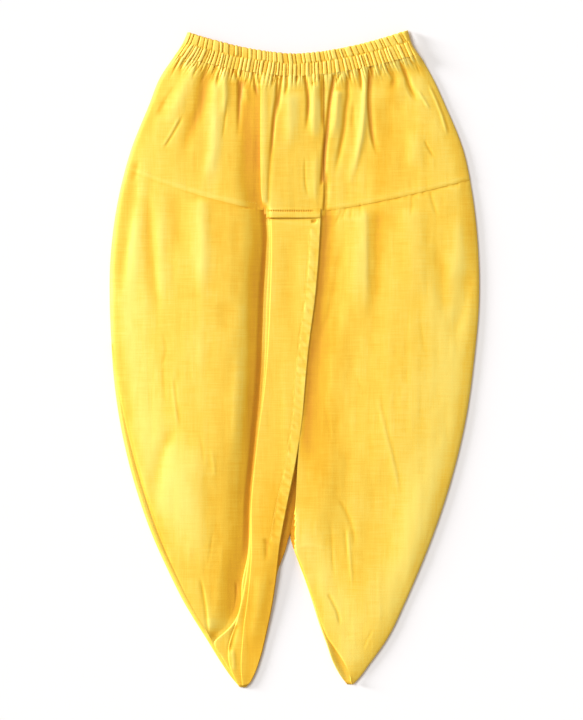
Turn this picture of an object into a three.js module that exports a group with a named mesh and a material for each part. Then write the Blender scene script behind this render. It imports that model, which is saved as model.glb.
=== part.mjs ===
// A child's pull-on dhoti laid flat, front up: a gathered elastic waistband, a yoke round the hips, two legs
// that swell and then run to points, and a stack of pleats down the middle of the front.
// Millimetres. X runs to the right as seen from the front, Y towards the waist, Z up from the surface.
// "Left" and "right" are the sides as seen from above.

import * as THREE from 'three';

// Cloth and layers
const SEAM_GAP = 0.3;
const BACK_WALL = 1.1;
const FRONT_WALL = 1.2;
const PLEAT_WALL = 1.1;
const BAND_WALL = 1.5;
const FRONT_LEVEL = BACK_WALL + SEAM_GAP;
const MIDDLE_PLEAT_LEVEL = FRONT_LEVEL + PLEAT_WALL + SEAM_GAP;
const TOP_PLEAT_LEVEL = MIDDLE_PLEAT_LEVEL + PLEAT_WALL + SEAM_GAP;
const TAB_LEVEL = TOP_PLEAT_LEVEL + PLEAT_WALL + SEAM_GAP;
const CLOTH_COLOUR = 0xf9cd45;
const SHADED_COLOUR = 0xe4ab28;

// Whole garment
const WAIST_EDGE_CENTRE_Y = 289.5;
const WAIST_EDGE_RISE = 21.5;
const WAIST_HALF = 104;
const CHANNEL_LINE_CENTRE_Y = 268.5;
const CHANNEL_LINE_RISE = 19.5;
const CHANNEL_HALF = 112;
const BAND_LINE_POWER = 1.65;
const LEFT_TIP_Y = -312;
const RIGHT_TIP_Y = -309;
const CROTCH_Y = -168;

// Waistband gathers
const BAND_PLEATS = 37;
const BAND_PLEAT_RISE = 2.2;
const BAND_ROWS = 4;
const STITCHED_SHARE = 0.35;
const MID_STITCHING = 0.5;
const STITCHING_REACH = 0.25;

// The two side folds, as distances from the centre line at each height.
const SIDES = [
  { y: 312, left: -101, right: 107 },
  { y: 298, left: -107.5, right: 111.5 },
  { y: 284, left: -117, right: 121 },
  { y: 270, left: -126.5, right: 129 },
  { y: 240, left: -139, right: 143 },
  { y: 199, left: -155.5, right: 159.5 },
  { y: 155, left: -167, right: 168.5 },
  { y: 101, left: -174, right: 174 },
  { y: 50, left: -175, right: 174.5 },
  { y: -1, left: -173.5, right: 170 },
  { y: -58, left: -166.5, right: 162 },
  { y: -116, left: -153, right: 148 },
  { y: -166, left: -136, right: 131.5 },
  { y: -206, left: -118, right: 115.5 },
  { y: -229, left: -106.5, right: 105.5 },
  { y: -269, left: -82, right: 85.5 },
  { y: -290, left: -69, right: 70.5 },
  { y: -304, left: -59, right: 60 },
  { y: -312, left: -52, right: 52 },
];

// How far the left front panel's side edge has rolled in from the fold.
const LEFT_EDGE_ROLL = [
  { y: 180, x: 0 },
  { y: 20, x: 0 },
  { y: -60, x: 5 },
  { y: -200, x: 6.5 },
  { y: -270, x: 1 },
];

// Where the left front panel ends against the pleats, and below them along its own hem.
const LEFT_FRONT_HEM = [
  { y: 138, x: -29 },
  { y: 66, x: -30 },
  { y: -28, x: -33 },
  { y: -78, x: -37 },
  { y: -136, x: -42.5 },
  { y: -186, x: -43.5 },
  { y: -214, x: -50 },
  { y: -231, x: -50.5 },
  { y: -243, x: -54 },
  { y: -254, x: -61 },
  { y: -262, x: -71 },
  { y: -268, x: -79.5 },
];

// Left edges of the two upper pleats.
const MIDDLE_PLEAT_LEFT = [
  { y: 130, x: -25.5 },
  { y: 56, x: -27.5 },
  { y: -28, x: -31 },
  { y: -78, x: -37 },
  { y: -136, x: -42 },
  { y: -186, x: -43 },
  { y: -230, x: -50 },
  { y: -262, x: -58 },
  { y: -284, x: -59 },
  { y: -302, x: -55 },
];
const TOP_PLEAT_LEFT = [
  { y: 130, x: -23 },
  { y: 56, x: -24 },
  { y: -25, x: -29 },
  { y: -78, x: -36 },
  { y: -136, x: -41.5 },
  { y: -192, x: -42 },
  { y: -225, x: -45 },
  { y: -279, x: -50 },
  { y: -304, x: -51.5 },
];

// Right edge that all the pleats share. Below the crotch it is the inner edge of the left leg.
const PLEATS_RIGHT = [
  { y: 140, x: 25.5 },
  { y: 94, x: 23 },
  { y: 55, x: 19.5 },
  { y: 18, x: 14.5 },
  { y: -22, x: 10.5 },
  { y: -58, x: 7.5 },
  { y: -102, x: 0.5 },
  { y: -141, x: -7.5 },
  { y: -180, x: -14.5 },
  { y: -203, x: -17 },
  { y: -231, x: -21 },
  { y: -261, x: -27 },
  { y: -285, x: -34 },
  { y: -301, x: -41 },
  { y: -312, x: -49 },
];

// The fold of cloth that shows between the pleats and the right leg, along its right edge.
const GUSSET_RIGHT = [
  { y: -80, x: 4.8 },
  { y: -99, x: 2 },
  { y: -140, x: -1.2 },
  { y: -160, x: -4 },
  { y: -170, x: -7 },
  { y: -183, x: -10.3 },
  { y: -196, x: -14.8 },
];

// The left leg's back panel along the crotch and the inside of the leg.
const LEFT_BACK_INNER = [
  { y: 170, x: -0.5 },
  { y: -150, x: -1 },
  { y: CROTCH_Y, x: -5.5 },
  { y: -183, x: -9.5 },
  { y: -199, x: -15.5 },
  { y: -231, x: -21.5 },
  { y: -261, x: -27.5 },
  { y: -285, x: -34.5 },
  { y: -301, x: -41.5 },
  { y: -312, x: -49.5 },
];

// The right leg's inner edge, on the front panel and on the back panel that shows past it.
const RIGHT_FRONT_INNER = [
  { y: 140, x: 26.5 },
  { y: 94, x: 24 },
  { y: 18, x: 15.5 },
  { y: -58, x: 8.5 },
  { y: -99, x: 3.5 },
  { y: -140, x: 0.5 },
  { y: CROTCH_Y, x: -3.5 },
  { y: -200, x: 6.5 },
  { y: -234, x: 21 },
  { y: -258, x: 30 },
  { y: -277, x: 39.5 },
  { y: -295, x: 54 },
  { y: -301, x: 60 },
];
const RIGHT_BACK_INNER = [
  { y: 170, x: 0 },
  { y: -150, x: -0.5 },
  { y: CROTCH_Y, x: -4.5 },
  { y: -185, x: 0.5 },
  { y: -223, x: 15 },
  { y: -261, x: 28.5 },
  { y: -282, x: 36 },
  { y: -301, x: 46 },
  { y: -312, x: 51 },
];

// Soft ridges (rise above zero) and troughs, each a straight run of a given half width.
const FOLDS = {
  yoke_front_left: [
    { fromX: -98, fromY: 271, toX: -123, toY: 210, halfWidth: 11, rise: 1.6 },
    { fromX: -83, fromY: 273, toX: -103, toY: 200, halfWidth: 8, rise: -1.6 },
    { fromX: -66, fromY: 268, toX: -81, toY: 170, halfWidth: 8, rise: 1.6 },
    { fromX: -46, fromY: 262, toX: -44, toY: 160, halfWidth: 8, rise: -1.6 },
  ],
  centre_panel: [
    { fromX: -27, fromY: 262, toX: -27, toY: 160, halfWidth: 6, rise: 1.4 },
    { fromX: -13, fromY: 266, toX: -22, toY: 203, halfWidth: 4, rise: -1.8 },
    { fromX: -1, fromY: 262, toX: -2, toY: 150, halfWidth: 8, rise: 1.6 },
    { fromX: 12, fromY: 266, toX: 14, toY: 155, halfWidth: 4, rise: -1.4 },
  ],
  yoke_front_right: [
    { fromX: 37, fromY: 262, toX: 31, toY: 190, halfWidth: 7, rise: 1.6 },
    { fromX: 52, fromY: 268, toX: 50, toY: 215, halfWidth: 6, rise: -1.2 },
    { fromX: 64, fromY: 265, toX: 65, toY: 190, halfWidth: 6, rise: 1.5 },
    { fromX: 73, fromY: 270, toX: 76, toY: 192, halfWidth: 6, rise: -1.6 },
    { fromX: 98, fromY: 277, toX: 116, toY: 240, halfWidth: 7, rise: -1.5 },
    { fromX: 124, fromY: 266, toX: 147, toY: 210, halfWidth: 9, rise: 1.6 },
  ],
  leg_front_left: [
    { fromX: -154, fromY: 145, toX: -154, toY: -40, halfWidth: 13, rise: 1.5 },
    { fromX: -137, fromY: 155, toX: -130, toY: 25, halfWidth: 10, rise: -1.5 },
    { fromX: -112, fromY: 140, toX: -110, toY: 20, halfWidth: 13, rise: 1.3 },
    { fromX: -56, fromY: 120, toX: -60, toY: -80, halfWidth: 18, rise: -1.3 },
    { fromX: -121, fromY: -76, toX: -133, toY: -134, halfWidth: 10, rise: -1.3 },
    { fromX: -95, fromY: -60, toX: -98, toY: -170, halfWidth: 18, rise: 1.3 },
  ],
  leg_front_right: [
    { fromX: 60, fromY: 135, toX: 60, toY: 15, halfWidth: 11, rise: 1.6 },
    { fromX: 84, fromY: 135, toX: 84, toY: 10, halfWidth: 12, rise: -1.5 },
    { fromX: 152, fromY: 140, toX: 150, toY: -40, halfWidth: 14, rise: 1.4 },
    { fromX: 78, fromY: -37, toX: 103, toY: -134, halfWidth: 10, rise: -1.3 },
    { fromX: 50, fromY: -150, toX: 56, toY: -223, halfWidth: 9, rise: 1.6 },
    { fromX: 33, fromY: -223, toX: 43, toY: -252, halfWidth: 7, rise: -1.3 },
  ],
};

// Smooth curve through a table's rows: the value of one column at any height.
function curveThrough(rows, column) {
  const heights = rows.map((row) => row.y);
  const values = rows.map((row) => row[column]);
  const slopes = values.map((value, i) => {
    const before = Math.max(i - 1, 0);
    const after = Math.min(i + 1, rows.length - 1);
    return (values[after] - values[before]) / (heights[after] - heights[before]);
  });
  return (y) => {
    let i = 0;
    while (i < rows.length - 2 && y < heights[i + 1]) i += 1;
    const span = heights[i + 1] - heights[i];
    const t = THREE.MathUtils.clamp((y - heights[i]) / span, 0, 1);
    const rise = t * t * (3 - 2 * t);
    const leaving = t * (1 - t) * (1 - t) * span * slopes[i];
    const arriving = -t * t * (1 - t) * span * slopes[i + 1];
    return values[i] + rise * (values[i + 1] - values[i]) + leaving + arriving;
  };
}

const leftSide = curveThrough(SIDES, 'left');
const rightSide = curveThrough(SIDES, 'right');
const leftEdgeRoll = curveThrough(LEFT_EDGE_ROLL, 'x');
const leftFrontHem = curveThrough(LEFT_FRONT_HEM, 'x');
const middlePleatLeft = curveThrough(MIDDLE_PLEAT_LEFT, 'x');
const topPleatLeft = curveThrough(TOP_PLEAT_LEFT, 'x');
const pleatsRight = curveThrough(PLEATS_RIGHT, 'x');
const gussetRight = curveThrough(GUSSET_RIGHT, 'x');
const leftBackInner = curveThrough(LEFT_BACK_INNER, 'x');
const rightFrontInner = curveThrough(RIGHT_FRONT_INNER, 'x');
const rightBackInner = curveThrough(RIGHT_BACK_INNER, 'x');

// Lines that run across the garment: a height at any x.
function smile(centreY, rise, half) {
  return (x) => centreY + rise * Math.abs(x / half) ** BAND_LINE_POWER;
}
const waistEdge = smile(WAIST_EDGE_CENTRE_Y, WAIST_EDGE_RISE, WAIST_HALF);
const channelLine = smile(CHANNEL_LINE_CENTRE_Y, CHANNEL_LINE_RISE, CHANNEL_HALF);

const YOKE_SEAM_CENTRE_Y = 137.5;
function yokeSeam(x) {
  const [rise, half, power] = x < 0 ? [42, 162, 1.5] : [32, 164, 1.4];
  return YOKE_SEAM_CENTRE_Y + rise * Math.abs(x / half) ** power;
}

const shifted = (line, by) => (at) => line(at) + by;
const level = (y) => () => y;

// Where a line across the garment meets a line down it.
const MEETING_STEPS = 12;
function meeting(across, down) {
  let x = down(0);
  for (let i = 0; i < MEETING_STEPS; i += 1) x = down(across(x));
  return new THREE.Vector2(x, across(x));
}

// A point of the panel inside four edges, with s across and t down it, from 0 to 1 (a Coons patch).
function panelPoint(edges, s, t) {
  const { topLeft, topRight, bottomLeft, bottomRight } = edges.corners;
  const topX = THREE.MathUtils.lerp(topLeft.x, topRight.x, s);
  const bottomX = THREE.MathUtils.lerp(bottomLeft.x, bottomRight.x, s);
  const leftY = THREE.MathUtils.lerp(topLeft.y, bottomLeft.y, t);
  const rightY = THREE.MathUtils.lerp(topRight.y, bottomRight.y, t);
  const top = new THREE.Vector2(topX, edges.top(topX));
  const bottom = new THREE.Vector2(bottomX, edges.bottom(bottomX));
  const left = new THREE.Vector2(edges.left(leftY), leftY);
  const right = new THREE.Vector2(edges.right(rightY), rightY);
  const acrossEdges = left.lerp(right, s);
  const downEdges = top.lerp(bottom, t);
  const flat = topLeft.clone().lerp(topRight, s).lerp(bottomLeft.clone().lerp(bottomRight, s), t);
  return acrossEdges.add(downEdges).sub(flat);
}

function withCorners(edges) {
  const corners = {
    topLeft: meeting(edges.top, edges.left),
    topRight: meeting(edges.top, edges.right),
    bottomLeft: meeting(edges.bottom, edges.left),
    bottomRight: meeting(edges.bottom, edges.right),
  };
  return { ...edges, corners };
}

// A wall of cloth: a thin box whose points are laid on the panel, its underside at height(x, y, s, t).
function clothWall({ edges, across, down, wall, height }) {
  const panel = withCorners(edges);
  const geometry = new THREE.BoxGeometry(1, 1, 1, across, down, 1);
  const points = geometry.attributes.position;
  for (let i = 0; i < points.count; i += 1) {
    const s = points.getX(i) + 0.5;
    const t = 0.5 - points.getY(i);
    const isUpper = points.getZ(i) > 0;
    const { x, y } = panelPoint(panel, s, t);
    points.setXYZ(i, x, y, height(x, y, s, t) + (isUpper ? wall : 0));
  }
  geometry.computeVertexNormals();
  return geometry;
}

// Height added by the folds of a panel, none of it below the panel's own level.
const PUFF = 1.7;
const MOST_RELIEF = 3.4;
function foldRise(folds, x, y) {
  const point = new THREE.Vector3(x, y, 0);
  const nearest = new THREE.Vector3();
  let rise = PUFF;
  for (const fold of folds) {
    const run = new THREE.Line3(
      new THREE.Vector3(fold.fromX, fold.fromY, 0),
      new THREE.Vector3(fold.toX, fold.toY, 0),
    );
    run.closestPointToPoint(point, true, nearest);
    const away = point.distanceTo(nearest) / fold.halfWidth;
    rise += fold.rise * Math.exp(-away * away);
  }
  return THREE.MathUtils.clamp(rise, 0, MOST_RELIEF);
}

// 0 on an edge of the panel and 1 from `reach` of its width or length inwards.
const edgeFade = (at, reach) => THREE.MathUtils.smoothstep(Math.min(at, 1 - at), 0, reach);

const SIDE_REACH = 0.16;
const HEM_REACH = 0.08;
const BAND_JOIN_RISE = 2.4;
const BAND_JOIN_REACH = 0.3;

function foldedFront(name, joinsBand) {
  return (x, y, s, t) => {
    const sides = edgeFade(s, SIDE_REACH);
    const rise = foldRise(FOLDS[name], x, y) * sides;
    if (!joinsBand) return FRONT_LEVEL + rise * edgeFade(t, HEM_REACH);
    const nearBand = 1 - THREE.MathUtils.smoothstep(t, 0, BAND_JOIN_REACH);
    const towardsSeam = THREE.MathUtils.smoothstep(1 - t, 0, HEM_REACH);
    return FRONT_LEVEL + THREE.MathUtils.lerp(rise, BAND_JOIN_RISE, nearBand) * towardsSeam;
  };
}

// The gathered band: a row of pleats on `base`, pressed down where its two rows of stitching cross them.
function gatheredBand(base) {
  const steps = BAND_PLEATS * 2;
  return clothWall({
    edges: {
      top: waistEdge,
      bottom: shifted(channelLine, SEAM_GAP),
      left: leftSide,
      right: rightSide,
    },
    across: steps,
    down: BAND_ROWS,
    wall: BAND_WALL,
    height: (x, y, s, t) => {
      const fromStitching = Math.min(Math.abs(t - MID_STITCHING), 1 - t);
      const free = THREE.MathUtils.smoothstep(fromStitching, 0, STITCHING_REACH);
      const onPleat = Math.round(s * steps) % 2;
      return base + onPleat * BAND_PLEAT_RISE * THREE.MathUtils.lerp(STITCHED_SHARE, 1, free);
    },
  });
}

const CENTRE_PANEL_LEFT = -32.5;
const CENTRE_PANEL_RIGHT = 27.5;
const PLEATS_TOP_Y = 140.6;
const TAB_TOP_Y = 141;
const TAB_BOTTOM_Y = 132.5;
const TAB_OVERHANG = 0.8;
const PLEAT_STEP_IN = 0.8;
const HEM_DROP = 1.6;
const HEM_CLEARANCE = 0.7;
const LEFT_FRONT_END_Y = -268;
const RIGHT_FRONT_END_Y = -301;
const GUSSET_TOP_Y = -80;
const GUSSET_END_Y = -196;
const MIDDLE_PLEAT_END_Y = -302;
const TOP_PLEAT_END_Y = -304;

const belowBand = shifted(channelLine, -SEAM_GAP);
const aboveYokeSeam = shifted(yokeSeam, SEAM_GAP);
const belowYokeSeam = shifted(yokeSeam, -SEAM_GAP);

const geometries = {
  waistband_back: gatheredBand(0),
  waistband_front: gatheredBand(BAND_PLEAT_RISE + BAND_WALL + SEAM_GAP),

  yoke_back: clothWall({
    edges: { top: belowBand, bottom: aboveYokeSeam, left: leftSide, right: rightSide },
    across: 12,
    down: 3,
    wall: BACK_WALL,
    height: level(0),
  }),
  yoke_front_left: clothWall({
    edges: {
      top: belowBand,
      bottom: aboveYokeSeam,
      left: leftSide,
      right: level(CENTRE_PANEL_LEFT - SEAM_GAP),
    },
    across: 14,
    down: 8,
    wall: FRONT_WALL,
    height: foldedFront('yoke_front_left', true),
  }),
  centre_panel: clothWall({
    edges: {
      top: belowBand,
      bottom: level(TAB_TOP_Y + SEAM_GAP),
      left: level(CENTRE_PANEL_LEFT),
      right: level(CENTRE_PANEL_RIGHT),
    },
    across: 12,
    down: 8,
    wall: FRONT_WALL,
    height: foldedFront('centre_panel', true),
  }),
  yoke_front_right: clothWall({
    edges: {
      top: belowBand,
      bottom: aboveYokeSeam,
      left: level(CENTRE_PANEL_RIGHT + SEAM_GAP),
      right: rightSide,
    },
    across: 14,
    down: 8,
    wall: FRONT_WALL,
    height: foldedFront('yoke_front_right', true),
  }),

  leg_back_left: clothWall({
    edges: { top: belowYokeSeam, bottom: level(LEFT_TIP_Y), left: leftSide, right: leftBackInner },
    across: 6,
    down: 16,
    wall: BACK_WALL,
    height: level(0),
  }),
  leg_back_right: clothWall({
    edges: { top: belowYokeSeam, bottom: level(RIGHT_TIP_Y), left: rightBackInner, right: rightSide },
    across: 6,
    down: 16,
    wall: BACK_WALL,
    height: level(0),
  }),
  leg_front_left: clothWall({
    edges: {
      top: belowYokeSeam,
      bottom: level(LEFT_FRONT_END_Y),
      left: (y) => leftSide(y) + leftEdgeRoll(y),
      right: leftFrontHem,
    },
    across: 12,
    down: 22,
    wall: FRONT_WALL,
    height: foldedFront('leg_front_left', false),
  }),
  leg_front_right: clothWall({
    edges: { top: belowYokeSeam, bottom: level(RIGHT_FRONT_END_Y), left: rightFrontInner, right: rightSide },
    across: 12,
    down: 22,
    wall: FRONT_WALL,
    height: foldedFront('leg_front_right', false),
  }),

  // The lowest pleat is sewn between the two front panels and makes the left leg's tip.
  pleat_base: clothWall({
    edges: {
      top: level(PLEATS_TOP_Y),
      bottom: level(LEFT_TIP_Y + SEAM_GAP),
      left: (y) => Math.max(leftFrontHem(y + HEM_DROP) + HEM_CLEARANCE, leftSide(y)),
      right: pleatsRight,
    },
    across: 4,
    down: 22,
    wall: PLEAT_WALL,
    height: level(FRONT_LEVEL),
  }),
  pleat_middle: clothWall({
    edges: {
      top: level(PLEATS_TOP_Y),
      bottom: level(MIDDLE_PLEAT_END_Y),
      left: middlePleatLeft,
      right: shifted(pleatsRight, -PLEAT_STEP_IN),
    },
    across: 3,
    down: 20,
    wall: PLEAT_WALL,
    height: level(MIDDLE_PLEAT_LEVEL),
  }),
  pleat_top: clothWall({
    edges: {
      top: level(PLEATS_TOP_Y),
      bottom: level(TOP_PLEAT_END_Y),
      left: topPleatLeft,
      right: shifted(pleatsRight, -2 * PLEAT_STEP_IN),
    },
    across: 3,
    down: 20,
    wall: PLEAT_WALL,
    height: level(TOP_PLEAT_LEVEL),
  }),
  cross_tab: clothWall({
    edges: {
      top: level(TAB_TOP_Y),
      bottom: level(TAB_BOTTOM_Y),
      left: shifted(middlePleatLeft, -TAB_OVERHANG),
      right: pleatsRight,
    },
    across: 6,
    down: 2,
    wall: PLEAT_WALL,
    height: level(TAB_LEVEL),
  }),
  crotch_gusset: clothWall({
    edges: {
      top: level(GUSSET_TOP_Y),
      bottom: level(GUSSET_END_Y),
      left: shifted(pleatsRight, SEAM_GAP),
      right: gussetRight,
    },
    across: 2,
    down: 10,
    wall: PLEAT_WALL,
    height: level(FRONT_LEVEL),
  }),
};
const IN_SHADE = ['pleat_base', 'pleat_middle', 'crotch_gusset'];

const group = new THREE.Group();
for (const [name, geometry] of Object.entries(geometries)) {
  const color = IN_SHADE.includes(name) ? SHADED_COLOUR : CLOTH_COLOUR;
  const cloth = new THREE.MeshStandardMaterial({ color, roughness: 0.85, metalness: 0 });
  const mesh = new THREE.Mesh(geometry, cloth);
  mesh.name = name;
  group.add(mesh);
}

export default group;
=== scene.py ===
"""A child's pull-on dhoti in golden-yellow cotton, laid flat with its front up.

Every cut piece is a thin shell of cloth laid in its own place in the frame. The pattern's tables are in
millimetres, as on a paper pattern, and the meshes are in metres. Left and right are as seen from above.
"""
import math
from collections import namedtuple

import bpy
import numpy as np
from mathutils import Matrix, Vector


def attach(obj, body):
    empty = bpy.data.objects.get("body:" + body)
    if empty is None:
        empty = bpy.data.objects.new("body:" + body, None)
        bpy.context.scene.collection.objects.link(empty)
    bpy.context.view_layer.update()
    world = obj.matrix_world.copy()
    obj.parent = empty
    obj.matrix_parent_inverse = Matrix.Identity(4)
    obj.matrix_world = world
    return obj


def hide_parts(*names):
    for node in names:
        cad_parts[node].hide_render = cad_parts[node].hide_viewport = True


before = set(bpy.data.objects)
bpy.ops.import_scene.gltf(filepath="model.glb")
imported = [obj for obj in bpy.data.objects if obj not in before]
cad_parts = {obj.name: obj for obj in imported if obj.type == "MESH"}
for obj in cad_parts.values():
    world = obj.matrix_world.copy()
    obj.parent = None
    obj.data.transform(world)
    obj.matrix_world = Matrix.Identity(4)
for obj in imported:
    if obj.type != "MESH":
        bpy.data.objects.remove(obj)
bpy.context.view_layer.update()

MM = 0.001

# ---------------- view, light and surface

MM_PER_POINT = 0.95
PICTURE_TALL = 720
VIEW_CENTRE = (-3.3, -1.0)
LENS = 100.0
SENSOR = 36.0

ROOM_STRENGTH = 0.40
ROOM_TONE = (1.0, 0.90, 0.78, 1)
LAMP_TONE = (0.98, 1.0, 1.07)
SURFACE_TONE = (0.95, 0.945, 0.94, 1)
SURFACE_SIDE = 6
SURFACE_BELOW = 0.2
# a lamp's strength, its compass turn from +X, its height above the surface and its softness, in degrees
Lamp = namedtuple("Lamp", "name strength turn height softness")
LAMPS = [
    Lamp("key_lamp", 2.3, 148, 38, 26),
    Lamp("low_lamp", 4.3, 164, 10.5, 12),
]


def set_up_view():
    """A camera straight above, far enough off that the cloth keeps its shape."""
    bpy.ops.object.camera_add(rotation=(0, 0, 0))
    camera = bpy.context.object
    camera.name = "view_from_above"
    camera.data.lens = LENS
    camera.data.sensor_width = SENSOR
    distance = PICTURE_TALL * MM_PER_POINT * LENS / SENSOR
    camera.location = (VIEW_CENTRE[0] * MM, VIEW_CENTRE[1] * MM, distance * MM)
    camera.data.clip_end = 20
    bpy.context.scene.camera = camera


def set_up_light():
    """Two broad lamps on the left, one low enough to rake across the folds, and an even fill."""
    scene = bpy.context.scene
    scene.view_settings.view_transform = "Standard"
    scene.view_settings.look = "None"
    room = bpy.data.worlds.new("white_room")
    scene.world = room
    room.use_nodes = True
    fill = room.node_tree.nodes["Background"]
    fill.inputs["Color"].default_value = ROOM_TONE
    fill.inputs["Strength"].default_value = ROOM_STRENGTH
    for lamp in LAMPS:
        bpy.ops.object.light_add(type="SUN")
        light = bpy.context.object
        light.name = lamp.name
        light.data.energy = lamp.strength
        light.data.angle = math.radians(lamp.softness)
        light.data.color = LAMP_TONE
        turn = math.radians(lamp.turn)
        height = math.radians(lamp.height)
        level_part = math.cos(height)
        towards = Vector((level_part * math.cos(turn), level_part * math.sin(turn), math.sin(height)))
        light.rotation_euler = towards.to_track_quat("Z", "Y").to_euler()


def lay_surface():
    """The white surface that the garment lies on, a hair below its underside."""
    bpy.ops.mesh.primitive_plane_add(size=SURFACE_SIDE, location=(0, 0, -SURFACE_BELOW * MM))
    surface = bpy.context.object
    surface.name = "white_surface"
    card = bpy.data.materials.new("white_card")
    card.use_nodes = True
    shader = card.node_tree.nodes["Principled BSDF"]
    shader.inputs["Base Color"].default_value = SURFACE_TONE
    shader.inputs["Roughness"].default_value = 0.9
    shader.inputs["Specular IOR Level"].default_value = 0.1
    surface.data.materials.append(card)


# ---------------- the pattern, in millimetres

SIDE_FOLDS = [
    (312, -101, 107),
    (298, -107.5, 111.5),
    (284, -117, 121),
    (270, -126.5, 129),
    (240, -139, 143),
    (199, -155.5, 159.5),
    (155, -167, 168.5),
    (101, -174, 174),
    (50, -175, 174.5),
    (-1, -173.5, 170),
    (-58, -166.5, 162),
    (-116, -153, 148),
    (-166, -136, 131.5),
    (-206, -118, 115.5),
    (-229, -106.5, 105.5),
    (-269, -82, 85.5),
    (-290, -69, 70.5),
    (-304, -59, 60),
    (-312, -52, 52),
]
LEFT_EDGE_ROLL = [(180, 0), (20, 0), (-60, 5), (-200, 6), (-262, 4.5), (-300, 3), (-312, 2)]
LEFT_FRONT_HEM = [
    (140, -26.5), (120, -25), (66, -27.5), (-28, -31.5), (-78, -36), (-136, -41.5), (-186, -43.5),
    (-214, -49.5), (-231, -50), (-243, -53), (-254, -60), (-262, -69), (-268, -78),
]
BASE_PLEAT_LEFT = [
    (142, -29.8), (134, -28.5), (127, -27.3), (120, -26.9), (100, -27.6), (66, -29.5), (-28, -33.5),
    (-78, -38), (-136, -43.5), (-186, -45), (-214, -50.5), (-231, -51.5), (-243, -54.5), (-254, -61.5),
    (-262, -70), (-266.5, -75.5), (-270, -77), (-284, -69.2), (-296, -61.8), (-304, -57), (-308, -54.8),
    (-312, -52.8),
]
MIDDLE_PLEAT_LEFT = [
    (139, -26.5), (128, -25.4), (118, -25), (56, -27.3), (-28, -31), (-78, -37), (-136, -42), (-186, -44),
    (-230, -51), (-250, -56), (-276, -63.5), (-290, -62.5), (-302, -58), (-312, -52.5),
]
TOP_PLEAT_LEFT = [
    (139, -23.5), (118, -22.8), (56, -24), (-25, -29), (-78, -36), (-136, -41.5), (-192, -42),
    (-225, -45), (-261, -49.5), (-306, -50.5), (-312, -49.5),
]
CENTRE_LEFT_EDGE = [(280, -32.7), (172, -32.6), (160, -32.3), (150, -31.3), (142, -29.8), (134, -28.4)]
PLEATS_RIGHT = [
    (140, 25.5), (94, 23), (55, 19.5), (18, 14.5), (-22, 10.5), (-58, 7.5), (-102, 0.5), (-141, -7.5),
    (-180, -14.5), (-203, -17), (-231, -21), (-261, -27), (-285, -33),
    (-301, -39), (-308, -43), (-312, -47),
]
GUSSET_RIGHT = [(-80, 6), (-99, 4), (-140, 1.5), (-160, -2), (-170, -6), (-183, -9.8), (-196, -14.4)]
LEFT_BACK_INNER = [
    (170, 1), (-150, 1), (-168, -5.5), (-183, -9.5), (-199, -15.5), (-231, -21.5),
    (-261, -27.5), (-285, -34.5), (-301, -41.5), (-312, -49.5),
]
RIGHT_FRONT_INNER = [
    (140, 22), (94, 19), (18, 12), (-58, 6), (-99, 2.5), (-140, 0), (-168, -4),
    (-200, 6.5), (-212, 11.2), (-234, 19), (-253, 25.5), (-264, 30.5), (-277, 39.5), (-288, 46.5),
    (-297, 51), (-309, 54),
]
RIGHT_BACK_INNER = [
    (170, -1), (-150, -1), (-168, -4.5), (-185, 0.5), (-210, 9.6), (-226, 15), (-253, 23.6),
    (-270, 29.8), (-288, 36.2), (-302, 44), (-312, 52),
]

Smile = namedtuple("Smile", "centre rise half power")
WAIST_EDGE = Smile(289.5, 21.5, 104, 1.65)
BAND_FOOT = Smile(268.5, 19.5, 112, 1.65)
YOKE_SEAM_LEFT = Smile(137.5, 42, 162, 1.5)
YOKE_SEAM_RIGHT = Smile(137.5, 32, 164, 1.4)

CENTRE_LEFT, CENTRE_RIGHT = -32.7, 27.0
TAB_TOP, TAB_BOTTOM = 142.6, 133.6
TAB_LEFT, TAB_RIGHT = -27.2, 24.6
LEFT_TIP, RIGHT_TIP = -311.7, -309.0


def down_curve(rows, column=1):
    """A smooth curve through one column of a table, as a function of the height."""
    heights = np.array([row[0] for row in rows][::-1], float)
    values = np.array([row[column] for row in rows][::-1], float)
    slopes = np.gradient(values, heights)

    def at(y):
        y = np.clip(np.asarray(y, float), heights[0], heights[-1])
        i = np.clip(np.searchsorted(heights, y) - 1, 0, len(heights) - 2)
        span = heights[i + 1] - heights[i]
        t = (y - heights[i]) / span
        share = t * t * (3 - 2 * t)
        bend = t * (1 - t) * span * ((1 - t) * slopes[i] - t * slopes[i + 1])
        return values[i] + share * (values[i + 1] - values[i]) + bend

    return at


def smiling(line):
    """A line that rises from its centre to both sides."""
    return lambda x: line.centre + line.rise * np.abs(np.asarray(x, float) / line.half) ** line.power


def moved(line, by):
    return lambda at: line(at) + by


def level(value):
    return lambda at: np.full(np.shape(at), float(value))


left_side = down_curve(SIDE_FOLDS, 1)
right_side = down_curve(SIDE_FOLDS, 2)
left_roll = down_curve(LEFT_EDGE_ROLL)
left_front_hem = down_curve(LEFT_FRONT_HEM)
base_pleat_left = down_curve(BASE_PLEAT_LEFT)
middle_pleat_left = down_curve(MIDDLE_PLEAT_LEFT)
top_pleat_left = down_curve(TOP_PLEAT_LEFT)
centre_left_edge = down_curve(CENTRE_LEFT_EDGE)
pleats_right = down_curve(PLEATS_RIGHT)
gusset_right = down_curve(GUSSET_RIGHT)
left_back_inner = down_curve(LEFT_BACK_INNER)
right_front_inner = down_curve(RIGHT_FRONT_INNER)
right_back_inner = down_curve(RIGHT_BACK_INNER)
waist_edge = smiling(WAIST_EDGE)
band_foot = smiling(BAND_FOOT)
yoke_seam_left = smiling(YOKE_SEAM_LEFT)
yoke_seam_right = smiling(YOKE_SEAM_RIGHT)


def rolled_side(y):
    """Where the left front leg's side rolls over, a little inside the side fold."""
    return left_side(y) + left_roll(y)


def yoke_seam(x):
    return np.where(np.asarray(x, float) < 0, yoke_seam_left(x), yoke_seam_right(x))
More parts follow.
